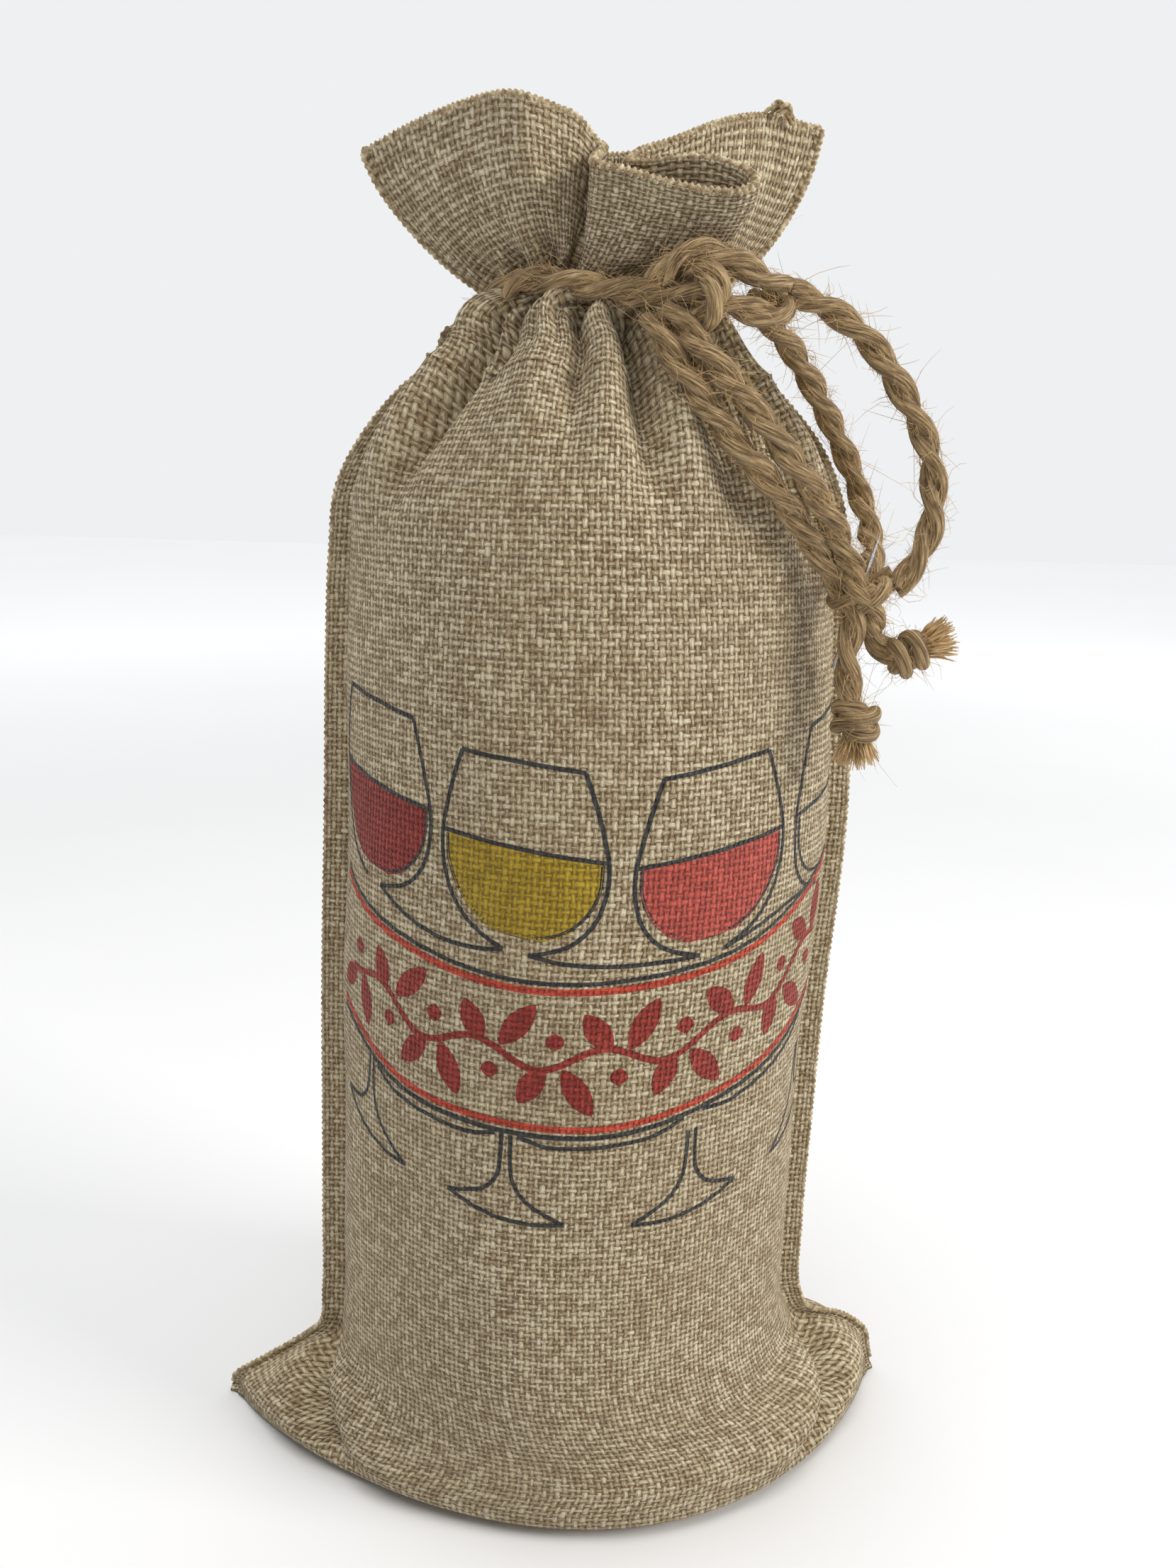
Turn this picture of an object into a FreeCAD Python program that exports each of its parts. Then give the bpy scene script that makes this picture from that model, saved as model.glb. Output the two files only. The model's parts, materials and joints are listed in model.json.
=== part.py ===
import FreeCAD, Part
import math
import os
from FreeCAD import Placement, Rotation, Vector

# A drawstring gift bag for one bottle: two panels of coarse plain-weave cloth sewn
# down both sides and across the bottom, closed round the bottle's neck by a jute
# drawstring that is tied in a bow, with one steel pin through the crossing of its ends.
# Millimetres, +Z up, origin on the floor under the middle of the bag, front towards -Y.

doc = FreeCAD.newDocument("WineGiftBag")

# ---- driving dimensions ---------------------------------------------------------------

SIZES = [
    ("body_half_width", 55.0, "seam to middle, with a bottle inside"),
    ("body_half_depth", 43.0, "front or back wall to the seam plane"),
    ("shoulder_height", 190.0, "where the wall starts to turn in"),
    ("tie_height", 243.0, "middle of the drawstring's turn round the neck"),
    ("tie_half_width", 20.0, "gathered cloth under the drawstring"),
    ("tie_half_depth", 19.0, "gathered cloth under the drawstring"),
    ("mouth_height", 274.0, "top edge of the ruffle"),
    ("mouth_half_width", 44.0, "tip of the ruffle to the middle"),
    ("left_ear_reach", 81.0, "left bottom corner from the middle"),
    ("right_ear_reach", 74.0, "right bottom corner from the middle"),
    ("cloth_wall", 1.6, "stand-in wall of a panel"),
    ("gathered_wall", 4.0, "wall where the pleats lie packed"),
    ("rope_diameter", 4.5, "two-ply jute"),
    ("thread_diameter", 0.8, "sewing thread"),
    ("pin_diameter", 0.7, "steel shaft"),
    ("pin_length", 27.0, "over all"),
    ("pin_point", 4.0, "tapered end"),
    ("pin_hole_play", 0.06, "radial play of the pin in the rope"),
    ("neck_turn_radius", 22.7, "middle of the rope round the neck"),
    ("bow_knot_half_length", 10.5, "along X"),
    ("bow_knot_half_height", 5.6, "along Y and Z"),
    ("crossing_radius", 4.6, "where the ends cross and are pinned"),
    ("end_knot_radius", 4.7, "overhand knot, across"),
    ("end_knot_half_height", 4.2, "overhand knot, along the rope"),
    ("fray_length", 8.0, "unravelled end"),
    ("fray_radius", 3.6, "unravelled end, at its tip"),
    ("tail_tuft_height", 9.0, "end of the seam's overlock thread"),
    ("tail_tuft_radius", 1.9, "end of the seam's overlock thread"),
]

sheet = doc.addObject("Spreadsheet::Sheet", "Sizes")
for row_number, (alias, value, note) in enumerate(SIZES, start=1):
    sheet.set(f"A{row_number}", alias)
    sheet.set(f"B{row_number}", str(value))
    sheet.set(f"C{row_number}", note)
    sheet.setAlias(f"B{row_number}", alias)
doc.recompute()


def size(alias):
    return float(sheet.get(alias))


def label(feature, name):
    feature.Label = name
    return feature


def coded_feature(name, shape, placement=None):
    """A free-form sub-part: its shape first, then its placement."""
    feature = doc.addObject("Part::Feature", name)
    feature.Shape = shape
    feature.Placement = placement or Placement()
    return label(feature, name)


# ---- cloth panels ---------------------------------------------------------------------

HALF_WIDTH = size("body_half_width")
HALF_DEPTH = size("body_half_depth")
SHOULDER = size("shoulder_height")
TIE = size("tie_height")
MOUTH = size("mouth_height")
WALL = size("cloth_wall")
PACKED = size("gathered_wall")
SEAM_INSET = 1.4        # the wall is this much thicker where the two panels meet
POINTS_ACROSS = 17
FOLD_SPACING = 1.1      # crest to crest of the ruffle, in half widths

# height, left seam (x, y), right seam (x, y), front depth, back depth, roundness, wall, fold depth, skew
LEVELS = [
    (WALL, (-size("left_ear_reach"), -1), (size("right_ear_reach"), 12), 43, 38, 0.85, WALL, 0, 0.25),
    (7, (-size("left_ear_reach") + 1, -1), (size("right_ear_reach") - 1, 12), 43, 38, 0.80, WALL, 0, 0.22),
    (14, (-HALF_WIDTH - 12, 0), (HALF_WIDTH + 8, 8), 43, 40, 0.70, WALL, 0, 0.15),
    (22, (-HALF_WIDTH - 4, 0), (HALF_WIDTH - 1, 3), HALF_DEPTH, 42, 0.62, WALL, 0, 0.08),
    (40, (-HALF_WIDTH - 2.5, 0), (HALF_WIDTH - 3.5, 1), HALF_DEPTH, HALF_DEPTH, 0.58, WALL, 0, 0.03),
    (100, (-HALF_WIDTH - 1, 0), (HALF_WIDTH - 2, 0), HALF_DEPTH, HALF_DEPTH, 0.58, WALL, 0, 0),
    (150, (-HALF_WIDTH, 0), (HALF_WIDTH - 1, 0), HALF_DEPTH, HALF_DEPTH, 0.58, WALL, 0, 0),
    (SHOULDER, (-HALF_WIDTH + 2, 0), (HALF_WIDTH - 4, 0), 42, 42, 0.58, WALL, 0, 0),
    (210, (-HALF_WIDTH + 4.5, 0), (HALF_WIDTH - 7, 0), 38.5, 38.5, 0.58, WALL, 0, 0),
    (222, (-43.5, 0), (41, 0), 33, 33, 0.56, WALL, 0, 0),
    (231, (-34, 0), (32, 0), 26, 26, 0.54, 2.2, 0, 0),
    (TIE - 5, (-23, 0), (23, 0), 19.8, 19.8, 0.52, PACKED, 0, 0),
    (TIE, (-size("tie_half_width"), 0), (size("tie_half_width"), 0),
     size("tie_half_depth"), size("tie_half_depth"), 0.5, PACKED, 0, 0),
    (TIE + 5, (-23, 0), (23, 1), 19.5, 19, 0.55, 3.2, 1.0, 0),
    (MOUTH - 14, (-35, 0), (34, 8), 20, 16, 0.7, 1.8, 4.0, 0),
    (MOUTH, (-size("mouth_half_width"), 0), (size("mouth_half_width") - 1, 15), 24, 17, 0.85, WALL, 6.5, 0),
]
FRONT, BACK = -1, 1


def outline(level, side, inset_depth, inset_seam):
    """Points across one panel at one height, from the left seam to the right seam."""
    height, left, right, front_depth, back_depth, roundness, _, fold, skew = level
    depth = (front_depth if side == FRONT else back_depth) - inset_depth
    middle = (left[0] + right[0]) / 2
    half = (right[0] - left[0]) / 2 - inset_seam
    slope = (right[1] - left[1]) / (right[0] - left[0])
    points = []
    for index in range(POINTS_ACROSS):
        turn = math.pi * (index / (POINTS_ACROSS - 1) - 0.5)
        across = math.sin(turn)
        x = middle + half * across
        seam_y = left[1] + slope * (x - left[0])
        bulge = depth * math.cos(turn) ** (2 * roundness) if 0 < index < POINTS_ACROSS - 1 else 0.0
        bulge *= 1 - side * skew * across
        folds = fold * math.cos(2 * math.pi * across / FOLD_SPACING) * math.cos(turn) ** 2
        points.append(Vector(x, seam_y + side * (bulge - folds), height))
    return points


def spline_edge(points):
    curve = Part.BSplineCurve()
    curve.interpolate(points)
    return curve.toShape()


def wall_section(level, side):
    """Closed section of a panel's wall at one height."""
    wall = level[6]
    outside = outline(level, side, 0, 0)
    inside = outline(level, side, wall, wall + SEAM_INSET)
    return Part.Wire([
        spline_edge(outside),
        Part.makeLine(outside[-1], inside[-1]),
        spline_edge(inside[::-1]),
        Part.makeLine(inside[0], outside[0]),
    ])


def panel(side):
    """One panel: its half of the underside, the wall, the gathered neck and the ruffle."""
    wall = Part.makeLoft([wall_section(level, side) for level in LEVELS], True, True)
    edge = outline(LEVELS[0], side, 0, 0)
    underside = Part.Face(Part.Wire([spline_edge(edge), Part.makeLine(edge[-1], edge[0])]))
    return wall.fuse(underside.extrude(Vector(0, 0, -WALL))).removeSplitter()


front_panel = coded_feature("front_panel", panel(FRONT))
back_panel = coded_feature("back_panel", panel(BACK))

# ---- rope and thread: straight runs joined by tangent arcs ------------------------------

ARC_SHARE = 0.45
radii_report = []


def rounded_path(name, points):
    """A wire along the points, each corner an arc as large as its two runs allow."""
    corners = [Vector(*point) for point in points]
    edges = []
    start = corners[0]
    tightest = math.inf
    for before, corner, after in zip(corners, corners[1:], corners[2:]):
        back = before - corner
        ahead = after - corner
        half_turn = (math.pi - back.getAngle(ahead)) / 2
        reach = ARC_SHARE * min(back.Length, ahead.Length)
        radius = reach / math.tan(half_turn)
        tightest = min(tightest, radius)
        back.normalize()
        ahead.normalize()
        enter = corner + back * reach
        leave = corner + ahead * reach
        inward = (back + ahead).normalize()
        middle = corner + inward * (radius / math.cos(half_turn) - radius)
        edges.append(Part.makeLine(start, enter))
        edges.append(Part.Arc(enter, middle, leave).toShape())
        start = leave
    edges.append(Part.makeLine(start, corners[-1]))
    wire = Part.Wire(edges)
    radii_report.append((name, wire.Length, tightest))
    return wire


def tube(name, points, diameter):
    """A round tube along a path, with its volume compared with section times length."""
    wire = rounded_path(name, points)
    start = Vector(*points[0])
    heading = Vector(*points[1]) - start
    ring = Part.Wire(Part.makeCircle(diameter / 2, start, heading))
    shape = wire.makePipeShell([ring], True, False)
    expected = math.pi * (diameter / 2) ** 2 * wire.Length
    if abs(shape.Volume - expected) > 0.02 * expected:
        raise RuntimeError(f"{name}: volume {shape.Volume:.1f}, expected {expected:.1f}")
    return shape


ROPE = size("rope_diameter")
THREAD = size("thread_diameter")
TURN = size("neck_turn_radius")


def on_neck(degrees_from_front, height):
    """A point of the drawstring's turn round the neck, positive degrees to the right."""
    angle = math.radians(degrees_from_front)
    return (TURN * math.sin(angle), -TURN * math.cos(angle), height)


NECK_TURN_ROUTE = [
    (10.5, -25.5, 242.8),
    on_neck(2, 243.6),
    on_neck(-27, 246.2),
    on_neck(-56, 244.2),
    on_neck(-85, 241.8),
    on_neck(-114, 241.0),
    on_neck(-143, 241.4),
    on_neck(-172, 242.4),
    on_neck(159, 243.2),
    on_neck(130, 243.6),
    on_neck(101, 243.6),
    on_neck(72, 243.2),
    (18.6, -20.5, 242.6),
]

TAIL_A_STRAND_ROUTE = [
    (11.5, -28.6, 240.2),
    (17.0, -31.4, 233.7),
    (25.7, -34.0, 224.3),
    (33.3, -34.0, 215.7),
    (40.6, -30.4, 206.8),
    (45.9, -26.4, 198.4),
]

TAIL_B_STRAND_ROUTE = [
    (8.6, -28.0, 239.0),
    (12.6, -31.0, 231.0),
    (21.2, -34.0, 220.8),
    (29.6, -33.6, 212.2),
    (37.4, -29.6, 203.4),
    (43.6, -26.2, 195.4),
]

LOOP_RETURN_ROUTE = [
    (25.8, -21.8, 242.6),
    (30.4, -14.5, 241.0),
    (37.8, -8.0, 233.8),
    (44.8, -1.6, 224.6),
    (50.4, 1.4, 215.4),
    (53.6, -0.6, 206.6),
    (53.4, -9.0, 200.2),
    (51.0, -18.0, 197.0),
    (48.6, -23.2, 195.2),
]

BOW_LOOP_ROUTE = [
    (31.6, -24.2, 244.2),
    (38.6, -22.8, 242.4),
    (46.4, -22.0, 237.4),
    (54.0, -22.6, 227.6),
    (59.4, -23.6, 217.2),
    (60.2, -24.8, 206.4),
    (57.6, -25.8, 199.2),
    (54.0, -26.1, 194.6),
]

TAIL_A_END_ROUTE = [
    (50.6, -25.6, 187.9),
    (51.2, -25.8, 184.6),
    (54.4, -26.2, 183.0),
]

TAIL_B_END_ROUTE = [
    (46.4, -29.2, 188.2),
    (45.7, -29.2, 184.2),
    (45.9, -28.9, 180.0),
    (47.0, -28.6, 174.6),
]

ROPES = {
    "drawstring_neck_turn": NECK_TURN_ROUTE,
    "tail_a_strand": TAIL_A_STRAND_ROUTE,
    "tail_b_strand": TAIL_B_STRAND_ROUTE,
    "loop_return_strand": LOOP_RETURN_ROUTE,
    "bow_loop": BOW_LOOP_ROUTE,
    "tail_a_end": TAIL_A_END_ROUTE,
    "tail_b_end": TAIL_B_END_ROUTE,
}
rope_features = [coded_feature(name, tube(name, route, ROPE)) for name, route in ROPES.items()]


def seam_route(index):
    """Down the middle of one side seam; index 1 is the left seam, 2 the right."""
    inward = (WALL + SEAM_INSET) / 2 * (1 if index == 1 else -1)
    return [(level[index][0] + inward, level[index][1], level[0]) for level in LEVELS[1:-1]]


def hem_route():
    """Once round the bag in the wall just under the drawstring, open by a stitch at the back."""
    level = LEVELS[11]
    gap = 4.0
    stitches = 16
    half_width = level[2][0] - level[6] / 2
    half_depth = level[3] - level[6] / 2
    route = []
    for index in range(stitches + 1):
        angle = math.radians(90 + gap + (360 - 2 * gap) * index / stitches)
        route.append((half_width * math.cos(angle), half_depth * math.sin(angle), level[0]))
    return route


def bottom_seam_route():
    """Across the underside from ear to ear, where the front and back halves meet."""
    left, right = LEVELS[0][1], LEVELS[0][2]
    inset = 3.0
    middle = ((left[0] + right[0]) / 2, (left[1] + right[1]) / 2 + 0.4, WALL / 2)
    return [(left[0] + inset, left[1] + 0.2, WALL / 2), middle, (right[0] - inset, right[1] - 0.2, WALL / 2)]


left_seam_thread = coded_feature("left_seam_thread", tube("left_seam_thread", seam_route(1), THREAD))
right_seam_thread = coded_feature("right_seam_thread", tube("right_seam_thread", seam_route(2), THREAD))
bottom_seam_thread = coded_feature(
    "bottom_seam_thread", tube("bottom_seam_thread", bottom_seam_route(), THREAD))
hem_stitching = coded_feature("hem_stitching", tube("hem_stitching", hem_route(), THREAD))

# ---- knots, frayed ends and the thread's tail ---------------------------------------------


def placed(feature, place, axis=Vector(0, 0, 1)):
    """Stand a primitive at a place with its own Z along the axis."""
    feature.Placement = Placement(Vector(*place), Rotation(Vector(0, 0, 1), axis))
    return feature


def ellipsoid(name, place, half_z, half_x, half_y, axis=Vector(0, 0, 1)):
    feature = label(doc.addObject("Part::Ellipsoid", name), name)
    feature.setExpression("Radius1", half_z)
    feature.setExpression("Radius2", half_x)
    feature.setExpression("Radius3", half_y)
    feature.Angle1 = -90
    feature.Angle2 = 90
    feature.Angle3 = 360
    return placed(feature, place, axis)


def frayed_end(name, place, axis):
    feature = label(doc.addObject("Part::Cone", name), name)
    feature.setExpression("Radius1", "Sizes.rope_diameter / 2")
    feature.setExpression("Radius2", "Sizes.fray_radius")
    feature.setExpression("Height", "Sizes.fray_length")
    return placed(feature, place, axis)


BOW_KNOT_PLACE = (19.0, -26.6, 243.0)
CROSSING_PLACE = (47.4, -26.0, 193.2)
TAIL_A_KNOT_PLACE = (57.0, -26.4, 183.2)
TAIL_B_KNOT_PLACE = (48.2, -28.6, 171.2)
TAIL_A_FRAY_PLACE = (60.3, -26.4, 184.8)
TAIL_B_FRAY_PLACE = (48.6, -28.6, 167.4)

drawstring_knot = ellipsoid(
    "drawstring_knot", BOW_KNOT_PLACE,
    "Sizes.bow_knot_half_height", "Sizes.bow_knot_half_length", "Sizes.bow_knot_half_height")
tail_a_knot = ellipsoid(
    "tail_a_knot", TAIL_A_KNOT_PLACE,
    "Sizes.end_knot_half_height", "Sizes.end_knot_radius", "Sizes.end_knot_radius", Vector(0.9, 0, 0.44))
tail_b_knot = ellipsoid(
    "tail_b_knot", TAIL_B_KNOT_PLACE,
    "Sizes.end_knot_half_height", "Sizes.end_knot_radius", "Sizes.end_knot_radius", Vector(0.1, 0, -1))
tail_a_fray = frayed_end("tail_a_fray", TAIL_A_FRAY_PLACE, Vector(0.93, 0, 0.37))
tail_b_fray = frayed_end("tail_b_fray", TAIL_B_FRAY_PLACE, Vector(0.03, 0, -1))

seam_thread_tail = label(doc.addObject("Part::Cone", "seam_thread_tail"), "seam_thread_tail")
seam_thread_tail.setExpression("Radius1", "Sizes.tail_tuft_radius")
seam_thread_tail.setExpression("Radius2", "Sizes.tail_tuft_radius / 2")
seam_thread_tail.setExpression("Height", "Sizes.tail_tuft_height")
placed(seam_thread_tail, (33.0, 5.2, MOUTH - 1.5))

# ---- the pin and the crossing that it goes through ------------------------------------------

PIN_TIP = Vector(49.3, -31.2, 204.4)
PIN_AXIS = Vector(3.4, -7.2, 18.8).normalize()
PIN_HEAD = PIN_TIP - PIN_AXIS * size("pin_length")
PIN_TIP_SHARE = 0.15     # the tip's radius against the shaft's

pin_shaft = doc.addObject("Part::Cylinder", "pin_shaft")
pin_shaft.setExpression("Radius", "Sizes.pin_diameter / 2")
pin_shaft.setExpression("Height", "Sizes.pin_length - Sizes.pin_point")
placed(pin_shaft, PIN_HEAD, PIN_AXIS)

pin_taper = doc.addObject("Part::Cone", "pin_taper")
pin_taper.setExpression("Radius1", "Sizes.pin_diameter / 2")
pin_taper.setExpression("Radius2", f"Sizes.pin_diameter / 2 * {PIN_TIP_SHARE}")
pin_taper.setExpression("Height", "Sizes.pin_point")
placed(pin_taper, PIN_TIP - PIN_AXIS * size("pin_point"), PIN_AXIS)

straight_pin = label(doc.addObject("Part::MultiFuse", "straight_pin"), "straight_pin")
straight_pin.Shapes = [pin_shaft, pin_taper]
straight_pin.Refine = True

crossing_lump = doc.addObject("Part::Sphere", "crossing_lump")
crossing_lump.setExpression("Radius", "Sizes.crossing_radius")
placed(crossing_lump, CROSSING_PLACE)

pin_hole = doc.addObject("Part::Cylinder", "pin_hole")
pin_hole.setExpression("Radius", "Sizes.pin_diameter / 2 + Sizes.pin_hole_play")
pin_hole.setExpression("Height", "Sizes.pin_length * 2")
placed(pin_hole, PIN_HEAD - PIN_AXIS * size("pin_length") / 2, PIN_AXIS)

strand_crossing = label(doc.addObject("Part::Cut", "strand_crossing"), "strand_crossing")
strand_crossing.Base = crossing_lump
strand_crossing.Tool = pin_hole

# ---- check and write --------------------------------------------------------------------------

doc.recompute()
sub_parts = [
    front_panel, back_panel, left_seam_thread, right_seam_thread, bottom_seam_thread,
    hem_stitching, seam_thread_tail, *rope_features, drawstring_knot, strand_crossing,
    tail_a_knot, tail_b_knot, tail_a_fray, tail_b_fray, straight_pin,
]
for feature in doc.Objects:
    if "Invalid" in feature.State or "Error" in feature.State:
        raise RuntimeError(f"{feature.Name} failed: {feature.State}")
for feature in sub_parts:
    if feature.Shape.isNull() or not feature.Shape.isValid() or feature.Shape.Volume <= 0:
        raise RuntimeError(f"{feature.Label} has no valid solid")

for name, length, radius in radii_report:
    print(f"{name}: length {length:.1f}, tightest radius {radius:.1f}")

os.makedirs("parts", exist_ok=True)
for feature in sub_parts:
    feature.Shape.exportStep(f"parts/{feature.Label}.step")
    box = feature.Shape.BoundBox
    print(f"{feature.Label}: {feature.Shape.Volume:.1f} mm3, {len(feature.Shape.Solids)} solid, "
          f"x {box.XMin:.1f}..{box.XMax:.1f} y {box.YMin:.1f}..{box.YMax:.1f} z {box.ZMin:.1f}..{box.ZMax:.1f}")
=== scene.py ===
import json
import math

import bmesh
import bpy
import numpy as np
from bpy.props import FloatProperty, FloatVectorProperty, IntProperty, PointerProperty
from mathutils import Matrix, Vector
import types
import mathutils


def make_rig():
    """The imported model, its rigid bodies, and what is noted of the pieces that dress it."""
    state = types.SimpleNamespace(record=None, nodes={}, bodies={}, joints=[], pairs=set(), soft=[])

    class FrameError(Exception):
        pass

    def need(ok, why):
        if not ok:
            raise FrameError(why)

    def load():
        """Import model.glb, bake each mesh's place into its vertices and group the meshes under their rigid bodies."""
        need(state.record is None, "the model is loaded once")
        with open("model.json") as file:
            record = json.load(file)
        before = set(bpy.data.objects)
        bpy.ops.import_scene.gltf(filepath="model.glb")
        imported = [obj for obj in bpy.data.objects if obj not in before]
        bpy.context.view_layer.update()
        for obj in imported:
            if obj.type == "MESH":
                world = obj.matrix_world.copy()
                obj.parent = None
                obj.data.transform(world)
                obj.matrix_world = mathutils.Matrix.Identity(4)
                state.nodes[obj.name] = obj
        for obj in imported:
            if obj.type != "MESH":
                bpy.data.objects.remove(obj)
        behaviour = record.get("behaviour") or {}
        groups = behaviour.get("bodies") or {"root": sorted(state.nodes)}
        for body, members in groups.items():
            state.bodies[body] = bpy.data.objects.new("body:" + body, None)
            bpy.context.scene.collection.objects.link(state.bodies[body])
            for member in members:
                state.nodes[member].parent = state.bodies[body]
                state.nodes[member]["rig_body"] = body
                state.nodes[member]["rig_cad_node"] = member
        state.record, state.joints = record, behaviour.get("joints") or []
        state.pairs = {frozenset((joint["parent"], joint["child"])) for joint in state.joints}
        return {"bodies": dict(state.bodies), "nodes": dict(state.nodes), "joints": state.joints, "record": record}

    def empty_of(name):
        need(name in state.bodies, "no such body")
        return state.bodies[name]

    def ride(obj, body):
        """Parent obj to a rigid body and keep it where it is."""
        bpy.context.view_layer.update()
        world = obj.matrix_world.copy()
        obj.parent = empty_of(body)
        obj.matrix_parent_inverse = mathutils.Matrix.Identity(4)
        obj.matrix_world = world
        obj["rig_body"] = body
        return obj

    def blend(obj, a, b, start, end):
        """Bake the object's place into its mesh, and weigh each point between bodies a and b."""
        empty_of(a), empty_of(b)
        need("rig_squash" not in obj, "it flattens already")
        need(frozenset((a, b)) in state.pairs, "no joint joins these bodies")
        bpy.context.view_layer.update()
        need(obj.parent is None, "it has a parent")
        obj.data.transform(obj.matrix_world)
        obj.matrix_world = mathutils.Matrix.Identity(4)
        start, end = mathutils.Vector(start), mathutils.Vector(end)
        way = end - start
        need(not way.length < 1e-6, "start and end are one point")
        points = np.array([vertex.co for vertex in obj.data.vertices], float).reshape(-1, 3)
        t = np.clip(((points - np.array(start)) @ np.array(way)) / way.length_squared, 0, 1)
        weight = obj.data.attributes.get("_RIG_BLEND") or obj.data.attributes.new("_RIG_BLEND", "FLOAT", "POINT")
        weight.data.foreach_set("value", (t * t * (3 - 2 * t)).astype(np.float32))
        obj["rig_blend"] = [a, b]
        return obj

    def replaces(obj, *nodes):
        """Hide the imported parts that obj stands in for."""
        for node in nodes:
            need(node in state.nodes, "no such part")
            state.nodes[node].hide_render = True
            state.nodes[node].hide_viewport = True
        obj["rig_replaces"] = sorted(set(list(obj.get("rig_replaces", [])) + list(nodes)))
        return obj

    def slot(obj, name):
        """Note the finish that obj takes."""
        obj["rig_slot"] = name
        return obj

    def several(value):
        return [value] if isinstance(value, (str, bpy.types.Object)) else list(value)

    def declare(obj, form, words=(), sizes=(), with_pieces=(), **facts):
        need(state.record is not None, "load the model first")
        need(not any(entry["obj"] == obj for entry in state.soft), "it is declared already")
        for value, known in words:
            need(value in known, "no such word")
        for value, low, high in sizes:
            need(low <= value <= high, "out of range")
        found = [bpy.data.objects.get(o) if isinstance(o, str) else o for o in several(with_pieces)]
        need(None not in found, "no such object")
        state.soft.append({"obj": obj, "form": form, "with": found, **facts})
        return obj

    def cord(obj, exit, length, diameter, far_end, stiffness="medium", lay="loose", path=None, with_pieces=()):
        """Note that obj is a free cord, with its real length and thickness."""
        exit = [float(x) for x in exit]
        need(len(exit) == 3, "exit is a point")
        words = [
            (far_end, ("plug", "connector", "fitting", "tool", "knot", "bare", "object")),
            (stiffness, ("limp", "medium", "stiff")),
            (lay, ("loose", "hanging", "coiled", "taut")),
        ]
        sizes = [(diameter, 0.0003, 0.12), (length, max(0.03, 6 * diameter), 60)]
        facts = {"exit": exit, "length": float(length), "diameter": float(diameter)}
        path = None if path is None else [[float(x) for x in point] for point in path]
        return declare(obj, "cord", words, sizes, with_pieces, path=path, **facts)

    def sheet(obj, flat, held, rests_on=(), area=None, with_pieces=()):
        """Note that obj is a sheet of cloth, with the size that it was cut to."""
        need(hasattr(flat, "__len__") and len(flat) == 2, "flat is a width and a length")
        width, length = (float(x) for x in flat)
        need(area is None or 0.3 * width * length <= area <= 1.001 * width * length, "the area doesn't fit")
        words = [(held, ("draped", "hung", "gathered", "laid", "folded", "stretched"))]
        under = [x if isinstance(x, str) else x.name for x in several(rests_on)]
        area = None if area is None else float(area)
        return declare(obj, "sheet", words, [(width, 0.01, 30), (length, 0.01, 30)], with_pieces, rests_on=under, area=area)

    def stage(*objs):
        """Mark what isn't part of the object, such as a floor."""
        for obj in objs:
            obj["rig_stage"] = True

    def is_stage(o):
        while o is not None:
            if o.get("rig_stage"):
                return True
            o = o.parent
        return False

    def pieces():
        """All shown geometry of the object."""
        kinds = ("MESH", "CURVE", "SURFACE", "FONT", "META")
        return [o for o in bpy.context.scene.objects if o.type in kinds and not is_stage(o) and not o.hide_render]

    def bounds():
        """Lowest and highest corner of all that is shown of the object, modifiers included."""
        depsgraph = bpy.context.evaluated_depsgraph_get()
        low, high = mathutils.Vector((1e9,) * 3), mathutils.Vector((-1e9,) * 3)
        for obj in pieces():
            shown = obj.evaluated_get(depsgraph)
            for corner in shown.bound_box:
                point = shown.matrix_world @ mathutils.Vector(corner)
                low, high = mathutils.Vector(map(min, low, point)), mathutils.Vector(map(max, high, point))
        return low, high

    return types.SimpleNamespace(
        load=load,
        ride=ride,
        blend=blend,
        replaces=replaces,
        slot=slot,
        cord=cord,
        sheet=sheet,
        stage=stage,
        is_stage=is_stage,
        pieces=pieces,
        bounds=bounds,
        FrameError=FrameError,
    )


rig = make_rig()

bl_info = {
    "name": "Drawstring Gift Bag",
    "version": (1, 0, 0),
    "blender": (4, 5, 0),
    "location": "3D View > Sidebar > Gift Bag",
    "description": "A woven gift bag for one bottle, gathered round its neck with a jute drawstring",
    "category": "Object",
}

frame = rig.load()
CAD_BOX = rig.bounds()
MM = 0.001
CLOTH_WIDTH = 150.0


# ---- settings -------------------------------------------------------------------------


def srgb(red, green, blue):
    """A colour as the shader wants it, from the usual 0 to 255 numbers."""
    return tuple((c / 255 / 12.92) if c <= 10 else ((c / 255 + 0.055) / 1.055) ** 2.4 for c in (red, green, blue))


def colour_setting(name, description, default):
    return FloatVectorProperty(
        name=name, description=description, subtype="COLOR", size=3, min=0, max=1, default=srgb(*default)
    )


def length_setting(name, description, default):
    return FloatProperty(name=name, description=description, unit="LENGTH", default=default, min=0, precision=5)


class GiftBagCloth(bpy.types.PropertyGroup):
    """The woven cloth of the two panels."""

    width: length_setting("Panel width", "Cut width of one panel, seam edge to seam edge", CLOTH_WIDTH * MM)
    thickness: length_setting("Thickness", "Single layer of the cloth", 0.0009)
    warp_pitch: length_setting("Warp pitch", "From one upright yarn to the next", 0.00112)
    weft_pitch: length_setting("Weft pitch", "From one level yarn to the next", 0.00132)
    light: colour_setting("Light yarn", "Palest yarns", (226, 214, 182))
    middle: colour_setting("Middle yarn", "Most yarns", (168, 148, 114))
    dark: colour_setting("Dark yarn", "Brownest yarns", (118, 94, 66))
    # Painted shade: the dark colour laid between the yarns and down the floats' sides, where shade falls.
    gap: colour_setting("Gap", "Between the yarns", (88, 68, 46))
    columns: IntProperty(name="Columns", description="Mesh cells across a panel", default=150, min=40, max=260)
    rows: IntProperty(name="Rows", description="Mesh cells up a panel", default=290, min=80, max=420)


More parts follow.
